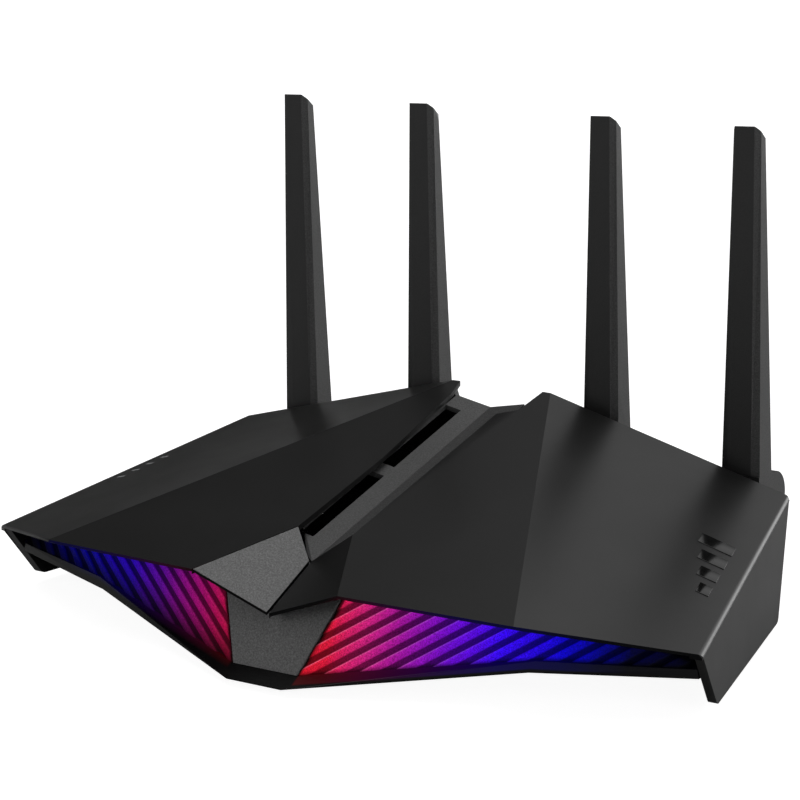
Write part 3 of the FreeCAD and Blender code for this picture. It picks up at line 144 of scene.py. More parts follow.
def bump(material, height, depth):
    """Fine relief of depth millimetres."""
    relief = add_node(material, "ShaderNodeBump")
    relief.inputs["Strength"].default_value = 1.0
    relief.inputs["Distance"].default_value = depth * MM
    wire(material, height, relief.inputs["Height"])
    return relief.outputs["Normal"]


# the millimetres across a slow drift of gloss, and the noise at which a grain is darkest and lightest
DRIFT_SIZE = 28.0
DARKEST_AT = 0.35
LIGHTEST_AT = 0.65


def grained(name, dark, light, grain, depth, roughness, spread=0.05, metallic=0.0, specular=0.5):
    """Moulded or painted stock: fine grain in tone and relief, and slow drifts in its gloss."""
    material = new_material(name, light, roughness, metallic, specular)
    shader = shader_of(material)
    fine = noise(material, grain, detail=4.0)
    slow = noise(material, DRIFT_SIZE, detail=2.0)
    tones = [(DARKEST_AT, dark), (LIGHTEST_AT, light)]
    wire(material, ramp(material, fine, tones), shader.inputs["Base Color"])
    gloss = remapped(material, slow, roughness - spread, roughness + spread)
    wire(material, gloss, shader.inputs["Roughness"])
    wire(material, bump(material, fine, depth), shader.inputs["Normal"])
    return material


def grey(value):
    return (value, value, value)


def scaled(color, factor):
    return tuple(part * factor for part in color)


MOTTLE_SIZE = 1.2
MOTTLE_DEPTH = 0.01
MOTTLE_SHADE = 0.8


def plain(name, color, roughness):
    """Small parts: their colour with a slight mottle, and a faint relief."""
    return grained(name, scaled(color, MOTTLE_SHADE), color, MOTTLE_SIZE, MOTTLE_DEPTH, roughness)


FLAKE_SIZE = 0.55
FLAKE_DEPTH = 0.012
# the noise at which each tone of the paint stands, and the tone as a share of the base grey
FLAKE_TONES = [(0.36, 0.66), (0.5, 1.0), (0.66, 1.6)]
DULL_FLAKE = 0.55
SHINY_FLAKE = 0.36


def flaked_paint(name, level):
    """Gunmetal paint: a grey base of this level with fine bright flakes."""
    material = new_material(name, grey(level), roughness=0.46, metallic=0.15)
    shader = shader_of(material)
    fine = noise(material, FLAKE_SIZE, detail=6.0, roughness=0.7)
    flakes = ramp(material, fine, [(place, grey(share * level)) for place, share in FLAKE_TONES])
    wire(material, flakes, shader.inputs["Base Color"])
    wire(material, remapped(material, fine, DULL_FLAKE, SHINY_FLAKE), shader.inputs["Roughness"])
    wire(material, bump(material, fine, FLAKE_DEPTH), shader.inputs["Normal"])
    return material


def across(material):
    """The place along X, in metres."""
    separate = add_node(material, "ShaderNodeSeparateXYZ")
    wire(material, place_output(material), separate.inputs["Vector"])
    return separate.outputs["X"]


def off_middle(material):
    """The distance from the router's middle plane, in metres."""
    distance = add_node(material, "ShaderNodeMath", operation="ABSOLUTE")
    wire(material, across(material), distance.inputs[0])
    return distance.outputs["Value"]


# the millimetres from the middle at which a bar's colours start and end
HUES_START = 12.0
HUES_END = 132.0


def hue_along_bar(material, stops):
    """The light's colour at each distance from the router's middle."""
    along = remapped(material, off_middle(material), 0.0, 1.0, HUES_START * MM, HUES_END * MM)
    return ramp(material, along, stops)


def blended(material, share, first, second):
    """The first colour with a share of the second, which is a fixed colour."""
    mix = add_node(material, "ShaderNodeMix", data_type="RGBA")
    wire(material, share, mix.inputs["Factor"])
    wire(material, first, mix.inputs["A"])
    mix.inputs["B"].default_value = (*second, 1)
    return mix.outputs["Result"]


def combined(material, operation, first, second):
    """The two values added or multiplied."""
    both = add_node(material, "ShaderNodeMath", operation=operation)
    wire(material, first, both.inputs[0])
    wire(material, second, both.inputs[1])
    return both.outputs["Value"]


def times(material, first, second):
    return combined(material, "MULTIPLY", first, second)


def attribute(material, name):
    return add_node(material, "ShaderNodeAttribute", attribute_name=name).outputs["Fac"]


# each bar's colours: the share of the way from HUES_START to HUES_END, and the colour there
RIGHT_STOPS = [
    (0.0, (0.72, 0.008, 0.02)),
    (0.075, (0.72, 0.010, 0.045)),
    (0.158, (0.64, 0.016, 0.19)),
    (0.258, (0.36, 0.007, 0.33)),
    (0.39, (0.15, 0.003, 0.62)),
    (0.517, (0.04, 0.002, 0.92)),
    (0.675, (0.004, 0.001, 0.58)),
    (0.767, (0.001, 0.001, 0.2)),
    (0.84, (0.001, 0.001, 0.03)),
    (1.0, (0.001, 0.001, 0.005)),
]
LEFT_STOPS = [
    (0.0, (0.72, 0.004, 0.06)),
    (0.09, (0.62, 0.004, 0.11)),
    (0.21, (0.4, 0.003, 0.24)),
    (0.34, (0.14, 0.002, 0.38)),
    (0.475, (0.03, 0.001, 0.56)),
    (0.67, (0.004, 0.001, 0.5)),
    (0.86, (0.002, 0.001, 0.17)),
    (0.95, (0.001, 0.001, 0.02)),
]
# the bars' brightness at each height of a rib, from 0 in the valley to 1 on the crest
RIB_LIGHT = [(0.0, 0.2), (0.3, 0.26), (0.6, 0.8), (1.0, 1.1)]
VALLEY_GREY = 0.001
CREST_GREY = 0.004
SPECKLE_SIZE = 0.42
SPECKLE_FAINT = 0.3
SPECKLE_FULL = 1.75
# the painted highlight, a pale line along a rib: its colour and strength, and the millimetres over
# which it fades out
PALE_GLINT = (1.0, 0.45, 0.75)
GLINT_SHARE = 0.3
GLINT_START = 14.0
GLINT_END = 80.0


def light_bar_material(name, stops):
    """A lit ribbed diffuser: red at the nose, through purple and blue, to dark at the wing end."""
    material = new_material(name, grey(0.003), roughness=0.5, specular=0.04)
    shader = shader_of(material)
    rib = attribute(material, "rib")
    grains = noise(material, SPECKLE_SIZE, detail=6.0, roughness=0.8)
    speckle = remapped(material, grains, SPECKLE_FAINT, SPECKLE_FULL, DARKEST_AT, LIGHTEST_AT)
    crest = ramp(material, rib, [(height, grey(light)) for height, light in RIB_LIGHT])
    # the edge attribute darkens the glow with painted shade at the brow and the lip
    strength = times(material, times(material, crest, attribute(material, "edge")), speckle)
    # painted highlight: the glint attribute mixes a pale colour into the glow, fading outwards
    reach = remapped(material, off_middle(material), GLINT_SHARE, 0.0, GLINT_START * MM, GLINT_END * MM)
    glint = times(material, attribute(material, "glint"), reach)
    hue = blended(material, glint, hue_along_bar(material, stops), PALE_GLINT)
    wire(material, hue, shader.inputs["Emission Color"])
    wire(material, strength, shader.inputs["Emission Strength"])
    base = [(0.0, grey(VALLEY_GREY)), (1.0, grey(CREST_GREY))]
    wire(material, ramp(material, rib, base), shader.inputs["Base Color"])
    return material


# the bars' light painted on the lip beside the nose as a reflection: how strong it is, the
# millimetres along X over which it comes up, and the heights over which it does, from 0 at the
# lip's lower edge to 1 at its upper
RIGHT_SPILL = 0.055
RIGHT_SPILL_X = (12.8, 13.4)
RIGHT_SPILL_HEIGHTS = (0.26, 0.4)
LEFT_SPILL = 0.03
LEFT_SPILL_X = (-14.0, -12.8)
LEFT_SPILL_HEIGHTS = (0.55, 1.0)


def glossy_black():
    """The glossy lip: beside the light bars its upper part glows in their colours, a painted reflection."""
    material = grained("glossy_black", grey(0.0015), grey(0.0022), 1.5, 0.001, 0.22,
                       spread=0.04, specular=0.25)
    shader = shader_of(material)
    x = across(material)
    rise = attribute(material, "rise")
    start, end = RIGHT_SPILL_X
    right = times(material, remapped(material, x, 0.0, RIGHT_SPILL, start * MM, end * MM),
                  remapped(material, rise, 0.0, 1.0, *RIGHT_SPILL_HEIGHTS))
    start, end = LEFT_SPILL_X
    left = times(material, remapped(material, x, LEFT_SPILL, 0.0, start * MM, end * MM),
                 remapped(material, rise, 0.0, 1.0, *LEFT_SPILL_HEIGHTS))
    # painted reflection: the bars' colours glow on the lip's upper part
    wire(material, hue_along_bar(material, RIGHT_STOPS), shader.inputs["Emission Color"])
    wire(material, combined(material, "ADD", right, left), shader.inputs["Emission Strength"])
    return material


DARK_LOW = grey(0.0012)
DARK_HIGH = grey(0.0018)
DARK_GRAIN = 0.6
DARK_DEPTH = 0.004
# the bars' light painted on the recesses under the covers, and the millimetres over which it comes up
RECESS_LIGHT = 0.035
RECESS_START = 24.0
RECESS_END = 40.0


def painted_shade_plastic(name):
    """Matt black, put on gaps, recesses and corners as painted shade."""
    return grained(name, DARK_LOW, DARK_HIGH, DARK_GRAIN, DARK_DEPTH, 0.7, specular=0.1)


def recess_painted_shade_and_glow():
    """Painted shade for the recesses under the covers' front edges, with a little painted glow of the bars'
    light.
    """
    material = painted_shade_plastic("recess_painted_shade_and_glow")
    shader = shader_of(material)
    wire(material, hue_along_bar(material, RIGHT_STOPS), shader.inputs["Emission Color"])
    painted_glow = remapped(material, off_middle(material), 0.0, RECESS_LIGHT, RECESS_START * MM, RECESS_END * MM)
    wire(material, painted_glow, shader.inputs["Emission Strength"])
    return material


TRACK_PITCH = 3.2
TRACK_WIDTH = 0.12
TRACK_DEPTH = 0.02
TRACK_GREEN = (0.02, 0.09, 0.05)
MASK_GREEN = (0.008, 0.035, 0.022)


def circuit_board():
    """Dark solder mask with a fine net of tracks under it."""
    material = new_material("solder_mask", (0.01, 0.03, 0.02), roughness=0.35)
    shader = shader_of(material)
    tracks = add_node(material, "ShaderNodeTexVoronoi", feature="DISTANCE_TO_EDGE", distance="MANHATTAN")
    tracks.inputs["Scale"].default_value = 1 / (TRACK_PITCH * MM)
    wire(material, place_output(material), tracks.inputs["Vector"])
    stops = [(0.0, TRACK_GREEN), (TRACK_WIDTH, MASK_GREEN)]
    wire(material, ramp(material, tracks.outputs["Distance"], stops), shader.inputs["Base Color"])
    wire(material, bump(material, tracks.outputs["Distance"], TRACK_DEPTH), shader.inputs["Normal"])
    return material


STATUS_COLOR = (0.9, 0.95, 1.0)
STATUS_LIGHT = 0.07


def lit_mark():
    """The little marks over the status lights: pale grey, hardly lit."""
    material = plain("lit_mark", grey(0.22), 0.4)
    shader = shader_of(material)
    shader.inputs["Emission Color"].default_value = (*STATUS_COLOR, 1)
    shader.inputs["Emission Strength"].default_value = STATUS_LIGHT
    return material


BRUSH_WIDTH = 0.25
BRUSH_SHORTENING = 0.08
BRUSH_DEPTH = 0.006
BRUSH_SHADE = 0.75
# how far the roughness drifts below and above its own value
BRUSH_SHINIER = 0.06
BRUSH_DULLER = 0.1


def brushed_metal(name, color, roughness):
    """Metal with short brush marks along X."""
    material = new_material(name, color, roughness, metallic=1.0)
    shader = shader_of(material)
    stretch = add_node(material, "ShaderNodeMapping")
    stretch.inputs["Scale"].default_value = (BRUSH_SHORTENING, 1, 1)
    wire(material, place_output(material), stretch.inputs["Vector"])
    marks = add_node(material, "ShaderNodeTexNoise")
    marks.inputs["Scale"].default_value = 1 / (BRUSH_WIDTH * MM)
    wire(material, stretch.outputs["Vector"], marks.inputs["Vector"])
    tones = ramp(material, marks.outputs["Fac"], [(0.3, scaled(color, BRUSH_SHADE)), (0.7, color)])
    wire(material, tones, shader.inputs["Base Color"])
    gloss = remapped(material, marks.outputs["Fac"], roughness - BRUSH_SHINIER, roughness + BRUSH_DULLER)
    wire(material, gloss, shader.inputs["Roughness"])
    wire(material, bump(material, marks.outputs["Fac"], BRUSH_DEPTH), shader.inputs["Normal"])
    return material


# grained takes the darkest and lightest tone, the grain's size and relief in millimetres, and the roughness
MATERIALS = {
    "cover": grained("cover_plastic", grey(0.0028), grey(0.0042), 0.35, 0.0025, 0.33, spread=0.02),
    # painted shade: matt black on the covers' recesses, with a little painted glow, and on gaps and corners
    "shade": recess_painted_shade_and_glow(),
    "dark": painted_shade_plastic("painted_shade_black"),
    "tray": grained("tray_plastic", grey(0.006), grey(0.010), 0.6, 0.02, 0.55),
    "antenna": grained("antenna_plastic", grey(0.009), grey(0.017), 0.42, 0.015, 0.4, specular=0.55),
    # painted highlight: lighter, shinier plastic on the covers' ridges and the antennas' seams
    "ridge": grained("painted_highlight_ridge", grey(0.02), grey(0.03), 0.35, 0.002, 0.3, specular=1.0),
    # painted highlight: lighter metal on the nose's slanting edges
    "nose_highlight": grained("painted_highlight_nose_edge", grey(0.3), grey(0.36), 0.4, 0.002, 0.35, metallic=1.0),
    # painted light: the antennas' right-hand sides lighter than their fronts
    "antenna_painted_lit_side": grained("antenna_painted_lit_side", grey(0.022), grey(0.06), 0.4, 0.02, 0.42, specular=0.6),
    "paint": flaked_paint("gunmetal_paint", 0.092),
    # painted shade: the channel between the covers gets a darker copy of the gunmetal paint
    "channel": flaked_paint("channel_paint_painted_shade", 0.05),
    "left_glow": light_bar_material("left_light_bar", LEFT_STOPS),
    "right_glow": light_bar_material("right_light_bar", RIGHT_STOPS),
    "gloss": glossy_black(),
    "rubber": grained("foot_rubber", grey(0.012), grey(0.02), 0.8, 0.03, 0.85),
    "board": circuit_board(),
    "white_board": plain("white_solder_mask", (0.6, 0.6, 0.58), 0.4),
    "chips": plain("chip_resin", (0.02, 0.02, 0.022), 0.5),
    "shield": brushed_metal("tinned_shield", (0.62, 0.62, 0.6), 0.32),
    "sink": brushed_metal("anodised_sink", (0.16, 0.16, 0.17), 0.42),
    "steel": brushed_metal("zinc_steel", (0.5, 0.5, 0.5), 0.3),
    "pin": brushed_metal("hinge_steel", (0.3, 0.3, 0.31), 0.3),
    "dark_steel": brushed_metal("blackened_steel", (0.06, 0.06, 0.062), 0.38),
    "gold": brushed_metal("gold_plate", (0.8, 0.56, 0.22), 0.25),
    "copper": brushed_metal("copper_foil", (0.72, 0.36, 0.22), 0.35),
    "pad": plain("thermal_pad", (0.3, 0.32, 0.36), 0.8),
    "port": plain("port_plastic", (0.012, 0.012, 0.012), 0.42),
    "blue_port": plain("blue_port_plastic", (0.01, 0.06, 0.28), 0.4),
    "button": plain("button_plastic", (0.014, 0.014, 0.014), 0.38),
    "switch": plain("switch_body", (0.03, 0.03, 0.03), 0.45),
    "label": plain("silver_label", (0.55, 0.55, 0.54), 0.5),
    "lead": plain("coax_jacket", (0.02, 0.02, 0.02), 0.5),
    "mark": lit_mark(),
    "emblem": grained("emblem_gloss", grey(0.001), grey(0.002), 2.0, 0.001, 0.12, spread=0.03),
}

NODE_MATERIALS = {
    "left_cover": "cover", "right_cover": "cover", "accent_panel": "paint", "nose_piece": "paint",
    "front_trim": "gloss", "left_light_bar": "left_glow", "right_light_bar": "right_glow",
    "left_led_strip": "white_board", "right_led_strip": "white_board", "vent_channel": "channel",
    "base_tray": "tray", "rubber_feet": "rubber", "case_screws": "dark_steel", "rear_panel": "tray",
    "status_lenses": "mark", "main_board": "board", "shield_cans": "shield", "thermal_pads": "pad",
    "board_components": "chips", "board_screws": "steel", "heat_sink": "sink", "heat_sink_screws": "steel",
    "lan_jack": "port", "wan_jack": "blue_port", "jack_contacts": "gold", "usb_socket": "shield",
    "usb_tongue": "blue_port", "power_inlet": "port", "power_button": "button",
    "pairing_button": "button", "lights_button": "button", "reset_button": "button",
    "button_switches": "switch", "antenna_leads": "lead", "rating_label": "label",
}
ANTENNA_MATERIALS = {
    "antenna_front_shell": "antenna", "antenna_rear_shell": "antenna", "antenna_radiator": "copper",
    "hinge_pin": "pin", "antenna_knuckle": "antenna", "antenna_bush": "tray",
}
for k in ANTENNAS:
    for kind, look in ANTENNA_MATERIALS.items():
        NODE_MATERIALS["%s_%d" % (kind, k)] = look


def give(piece, look):
    piece.data.materials.clear()
    piece.data.materials.append(MATERIALS[look])


def smooth(mesh, angle=32):
    """Round surfaces shade smoothly; edges sharper than angle degrees stay crisp."""
    for face in mesh.polygons:
        face.use_smooth = True
    mesh.set_sharp_from_angle(angle=math.radians(angle))


for name, carried in nodes.items():
    give(carried, NODE_MATERIALS[name])


# ---------------------------------------------------------------- mesh helpers

def link_mesh(name, shape, look):
    """A new object from a bmesh, at the origin of the row frame."""
    mesh = bpy.data.meshes.new(name)
    shape.to_mesh(mesh)
    shape.free()
    piece = bpy.data.objects.new(name, mesh)
    bpy.context.scene.collection.objects.link(piece)
    give(piece, look)
    return piece


WELD_DISTANCE = 0.002
FLAT_ANGLE = 0.6


def welded(node):
    """The CAD node's mesh with its coplanar triangles joined into whole faces."""
    shape = bmesh.new()
    shape.from_mesh(nodes[node].data)
    bmesh.ops.remove_doubles(shape, verts=shape.verts, dist=WELD_DISTANCE * MM)
    bmesh.ops.dissolve_limit(
        shape, angle_limit=math.radians(FLAT_ANGLE), verts=shape.verts, edges=shape.edges,
    )
    shape.normal_update()
    return shape


def turn_of(edge):
    """How many degrees the surface turns over an edge."""
    return math.degrees(edge.calc_face_angle(0.0))


def soften(shape, radius, least_turn, least_length, chosen=None, slot=-1):
    """Rounds the long edges that turn by more than least_turn degrees; slot is the new faces' material."""
    edges = [
        edge for edge in shape.edges
        if len(edge.link_faces) == 2
        and edge.calc_length() > least_length * MM
        and turn_of(edge) > least_turn
        and (chosen is None or chosen(edge))
    ]
    bmesh.ops.bevel(
        shape, geom=edges, offset=radius * MM, offset_type="OFFSET", segments=3,
        profile=0.5, affect="EDGES", clamp_overlap=True, material=slot,
    )


def is_plain_edge(edge):
    """An edge that no earlier rounding has touched."""
    return all(face.material_index == 0 for face in edge.link_faces)


UPRIGHT_LENGTH = 60.0
UPRIGHT_SHARE = 0.9


def is_upright(edge):
    """A long edge that stands nearly straight up."""
    ends = edge.verts[1].co - edge.verts[0].co
    length = edge.calc_length()
    return abs(ends.z) > UPRIGHT_SHARE * length and length > UPRIGHT_LENGTH * MM


def refined(node, radius, least_turn=12, least_length=3.0, painted_light_faces=None, trims=()):
    """A finished copy of a CAD piece with moulded edge radii, standing for that piece.

    The face look is a look and a test of the faces that get it: painted shade on the covers'
    recesses and the accent panel's steep faces, painted light on the antennas' right-hand sides. Each
    of trims is a look, a radius and a test of the edges that get both: painted highlights on ridges,
    seams and the nose's sides, and painted shade on the antennas' front corners.
    """
    shape = welded(node)
    looks = [NODE_MATERIALS[node], painted_light_faces[0] if painted_light_faces else NODE_MATERIALS[node]]
    for look, trim_radius, chosen in trims:
        looks.append(look)
        soften(shape, trim_radius, least_turn, least_length,
               lambda edge: is_plain_edge(edge) and chosen(edge), slot=len(looks) - 1)
    soften(shape, radius, least_turn, least_length, is_plain_edge)
    piece = link_mesh(node + "_shell", shape, looks[0])
    smooth(piece.data, angle=40)
    for look in looks[1:]:
        piece.data.materials.append(MATERIALS[look])
    if painted_light_faces is not None:
        for face in piece.data.polygons:
            if face.material_index == 0 and painted_light_faces[1](face):
                face.material_index = 1
    weights = piece.modifiers.new("face_weights", "WEIGHTED_NORMAL")
    weights.keep_sharp = True
    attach(piece, nodes[node]["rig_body"])
    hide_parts(node)
    return piece


# ---------------------------------------------------------------- light bars

RIB_PITCH = 8.6
# how far a rib leans outwards for each millimetre that it rises
RIB_LEAN = 1.6
RIB_DEPTH = 0.9
BAR_THICKNESS = 1.6
COLUMNS_PER_RIB = 20
BAR_ROWS = 30
# the outermost points lie this share of a line's height inside its ends
ROW_MARGIN = 0.004
NOSE_END = 13.0
# brightness, lower on the left, whose ribs show their unlit faces, as painted shade; and the
# millimetres over which painted shade darkens the glow at the brow and above the lip
BAR_LIGHT = {"left": (0.55, 2.5, 9.0), "right": (0.85, 1.6, 1.2)}
# the brow's painted shadow on the bar: millimetres at the nose, and how much more per millimetre outwards
BROW_SHADOW = {"left": (0.2, 0.0), "right": (0.9, 0.028)}
# the painted highlight's strength along the ribs, strong on the right and faint on the left
GLINT = {"left": 0.12, "right": 0.8}


def lean_of(point):
    """What is constant along a rib: the distance from the middle, less the rib's lean at that height."""
    return abs(point.x) - RIB_LEAN * point.z


def crossings(mesh, measure, level):
    """The points where the mesh's edges cross the plane on which measure has this level."""
    found = []
    for edge in mesh.edges:
        a, b = (mesh.vertices[i].co for i in edge.vertices)
        before, after = measure(a) - level, measure(b) - level
        if before * after < 0:
            found.append(a.lerp(b, before / (before - after)))
    return found


# one rib over its pitch: it rises to its edge, sags slightly over the crest, drops, and runs out
RIB_EDGE = 0.08
CREST_END = 0.5
DROP_END = 0.72
CREST_SAG = 0.22
VALLEY_HEIGHT = 0.08
GLINT_HALF_WIDTH = 0.05


def rib_profile(phase):
    """Height of a rib over one pitch: a crest over half of it, then a broad valley."""
    turn = phase % 1.0
    if turn < RIB_EDGE:
        return turn / RIB_EDGE
    if turn < CREST_END:
        return 1.0 - CREST_SAG * (turn - RIB_EDGE) / (CREST_END - RIB_EDGE)
    if turn < DROP_END:
        drop = 1.0 - CREST_SAG - VALLEY_HEIGHT
        wave = math.cos(math.pi * (turn - CREST_END) / (DROP_END - CREST_END))
        return VALLEY_HEIGHT + drop * (1 + wave) / 2
    return VALLEY_HEIGHT * (1 - turn) / (1 - DROP_END)


def glint_profile(phase):
    """The painted highlight: a thin bright line along a rib's upper edge."""
    return max(0.0, 1.0 - abs(phase % 1.0 - RIB_EDGE) / GLINT_HALF_WIDTH)


def clamped(value):
    return min(1.0, max(0.0, value))


# the share of the light left under the painted shade at the brow and at the lip, and where the bar has no
# height
BROW_REST = 0.06
LIP_REST = 0.12
END_REST = 0.3


def glow_with_painted_shade(mesh, x, z, side_name):
    """The glow at a place, with painted shade: none in the brow's shadow, darker towards the brow and the
    lip.
    """
    level, top_fade, lip_fade = BAR_LIGHT[side_name]
    shadow, growth = BROW_SHADOW[side_name]
    column = crossings(mesh, lambda point: point.x, x)
    if not column:
        return END_REST * level
    bottom, top = min(p.z for p in column), max(p.z for p in column)
    shadow += growth * (abs(x) / MM - NOSE_END)
    from_top = clamped(((top - z) / MM - shadow) / top_fade)
    from_lip = clamped((z - bottom) / (lip_fade * MM))
    return level * (BROW_REST + (1 - BROW_REST) * from_top) * (LIP_REST + (1 - LIP_REST) * from_lip)


# the millimetres in front of the bar at which rays start
RAY_START = 20.0


def front_depth(tree, x, z, front):
    """Where a line from the front meets the CAD bar, as a place along Y."""
    hit = tree.ray_cast(Vector((x, front - RAY_START * MM, z)), Vector((0, 1, 0)))[0]
    return hit.y if hit else None


def grid_faces(shape, rows, outward):
    for first, second in zip(rows, rows[1:]):
        for i in range(len(first) - 1):
            ring = [first[i], second[i], second[i + 1], first[i + 1]]
            shape.faces.new(ring if outward else ring[::-1])


def join_rims(shape, front_rows, back_rows, outward):
    """Side walls between the front and the back sheet."""
    strips = [
        (front_rows[0], back_rows[0], False), (front_rows[-1], back_rows[-1], True),
        ([row[0] for row in front_rows], [row[0] for row in back_rows], True),
        ([row[-1] for row in front_rows], [row[-1] for row in back_rows], False),
    ]
    for front, back, turned in strips:
        for i in range(len(front) - 1):
            ring = [front[i], front[i + 1], back[i + 1], back[i]]
            shape.faces.new(ring[::-1] if turned == outward else ring)


def surface_tree(mesh):
    """A search tree over a mesh's faces, for rays."""
    return BVHTree.FromPolygons([v.co for v in mesh.vertices], [tuple(p.vertices) for p in mesh.polygons])


def rib_line(shape, tree, front_y, side_name, level):
    """A line of points up the bar's face along a rib, and the back sheet's points behind them."""
    side = SIDES[side_name]
    mesh = nodes[side_name + "_light_bar"].data
    line = crossings(mesh, lean_of, level)
    bottom, top = min(p.z for p in line), max(p.z for p in line)
    phase = level / (RIB_PITCH * MM)
    rise = rib_profile(phase)
    layers = shape.verts.layers.float
    front, back = [], []
    for row in range(BAR_ROWS + 1):
        z = bottom + (top - bottom) * min(max(row / BAR_ROWS, ROW_MARGIN), 1 - ROW_MARGIN)
        x = side * (level + RIB_LEAN * z)
        y = front_depth(tree, x, z, front_y)
        if y is None:
            y = front[-1].co.y if front else min(p.y for p in line)
        vertex = shape.verts.new((x, y + RIB_DEPTH * (1 - rise) * MM, z))
        vertex[layers["rib"]] = rise
        # the edge layer holds the glow with its painted shade at the brow and the lip
        vertex[layers["edge"]] = glow_with_painted_shade(mesh, x, z, side_name)
        # the glint layer holds the painted highlight along each rib's upper edge
        vertex[layers["glint"]] = glint_profile(phase) * GLINT[side_name]
        front.append(vertex)
        back.append(shape.verts.new((x, y + (BAR_THICKNESS + RIB_DEPTH) * MM, z)))
    return front, back


def light_bar(side_name):
    """The ribbed diffuser: leaning ribs over the CAD bar's front face."""
    side = SIDES[side_name]
    node = side_name + "_light_bar"
    mesh = nodes[node].data
    tree = surface_tree(mesh)
    front_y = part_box(node)[0].y
    levels = [lean_of(v.co) for v in mesh.vertices]
    first, last = min(levels), max(levels)
    columns = round((last - first) / (RIB_PITCH * MM) * COLUMNS_PER_RIB)
    shape = bmesh.new()
    for layer in ("rib", "edge", "glint"):
        shape.verts.layers.float.new(layer)
    lines = []
    for column in range(columns):
        level = first + (last - first) * (column + 0.5) / columns
        lines.append(rib_line(shape, tree, front_y, side_name, level))
    front_rows = [front for front, back in lines]
    back_rows = [back for front, back in lines]
    grid_faces(shape, front_rows, side > 0)
    grid_faces(shape, back_rows, side < 0)
    join_rims(shape, front_rows, back_rows, side > 0)
    piece = link_mesh(node + "_diffuser", shape, side_name + "_glow")
    smooth(piece.data, angle=50)
    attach(piece, "housing")
    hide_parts(node)


for side_name in SIDES:
    light_bar(side_name)


# ---------------------------------------------------------------- shells with moulded edges
# the tests here compare parts of a face's unit normal with cosines

# the millimetres from the middle to the end of the recess under each cover's front edge, which is painted
# shade
RECESS_REACH = {"left": 86.0, "right": 131.0}
RECESS_BACK = -44.0


def under_brow(face):
    """Faces of a cover that look forward or down under its front edge; they get painted shade."""
    centre = face.center
    reach = RECESS_REACH["right" if centre.x > 0 else "left"]
    return face.normal.z < 0.25 and centre.y < RECESS_BACK * MM and abs(centre.x) < reach * MM


def steep(face):
    """Faces that look sideways or down; the accent panel's are painted black as shade."""
    return face.normal.z < 0.35


# columns are measured no further out than this share of the lip's half width
LIP_SHARE = 0.995


def mark_rise(piece):
    """Stores each point's height between the lip's lower and upper edges, from 0 to 1."""
    mesh = piece.data
    rise = mesh.attributes.new("rise", "FLOAT", "POINT")
    reach = max(v.co.x for v in mesh.vertices)
    for vertex, value in zip(mesh.vertices, rise.data):
        x = min(max(vertex.co.x, -LIP_SHARE * reach), LIP_SHARE * reach)
        column = crossings(mesh, lambda point: point.x, x)
        bottom, top = min(p.z for p in column), max(p.z for p in column)
        value.value = clamped((vertex.co.z - bottom) / (top - bottom))


def middle_of(edge):
    return (edge.verts[0].co + edge.verts[1].co) / 2


FIN_RIDGE_X = 118.0
FIN_RIDGE_LENGTH = 60.0
WING_FRONT_X = -100.0
WING_FRONT_Y = -50.0
WING_FRONT_LENGTH = 20.0


def wing_edge(edge):
    """The long ridge between a cover and its fin, and the left wing's open front edge;
    both get a painted highlight.
    """
    middle = middle_of(edge) / MM
    length = edge.calc_length() / MM
    on_top = any(face.normal.z > 0.8 for face in edge.link_faces)
    outer = abs(middle.x) > FIN_RIDGE_X and length > FIN_RIDGE_LENGTH
    front = middle.x < WING_FRONT_X and middle.y < WING_FRONT_Y and length > WING_FRONT_LENGTH
    return on_top and (outer or front)


def nose_side(edge):
    """The slanting left and right edges of the nose's face, given a painted highlight."""
    ends = edge.verts[1].co - edge.verts[0].co
    forward = any(face.normal.y < -0.6 for face in edge.link_faces)
    return forward and abs(ends.z) > 0.5 * edge.calc_length()


def faces_right(face):
    """The right-hand side of an antenna, bevels included, painted lighter as the light from the right."""
    return face.normal.x > 0.08 and abs(face.normal.z) < 0.5


def front_corner(edge):
    """The upright edges between an antenna's flat front and its bevels, painted black as shade."""
    return is_upright(edge) and all(face.normal.y < -0.3 for face in edge.link_faces)


def seam_edge(edge):
    """The upright edges along the joint between an antenna's two shells, given a painted highlight."""
    return is_upright(edge) and any(abs(face.normal.y) > 0.9 for face in edge.link_faces)


COVER_RADIUS = 0.5
RIDGE_RADIUS = 1.3
NOSE_RADIUS = 0.5
CHANNEL_RADIUS = 0.35
SMALL_RADIUS = 0.3
SEAM_RADIUS = 0.2

# painted shade under the covers' front edges, painted highlights on their ridges
for node in ("left_cover", "right_cover"):
    refined(node, COVER_RADIUS, painted_light_faces=("shade", under_brow), trims=[("ridge", RIDGE_RADIUS, wing_edge)])
# the accent panel's steep faces are painted black as shade
refined("accent_panel", SMALL_RADIUS, painted_light_faces=("dark", steep))
# the nose's slanting edges get a painted highlight
refined("nose_piece", SMALL_RADIUS, trims=[("nose_highlight", NOSE_RADIUS, nose_side)])
refined("vent_channel", CHANNEL_RADIUS, least_length=1.5)
mark_rise(refined("front_trim", SMALL_RADIUS))
refined("base_tray", COVER_RADIUS, least_turn=25)
for k in ANTENNAS:
    # painted light on the right-hand sides, painted shade on the front corners, painted highlights on the
    # seams
    painted_lit_side = ("antenna_painted_lit_side", faces_right)
    corner = ("dark", SMALL_RADIUS, front_corner)
    seam_highlight = ("ridge", SEAM_RADIUS, seam_edge)
    refined("antenna_front_shell_%d" % k, SMALL_RADIUS, least_turn=5, painted_light_faces=painted_lit_side, trims=[corner, seam_highlight])
    refined("antenna_rear_shell_%d" % k, SMALL_RADIUS, least_turn=14, painted_light_faces=painted_lit_side, trims=[seam_highlight])


# ---------------------------------------------------------------- raised mark on the right cover

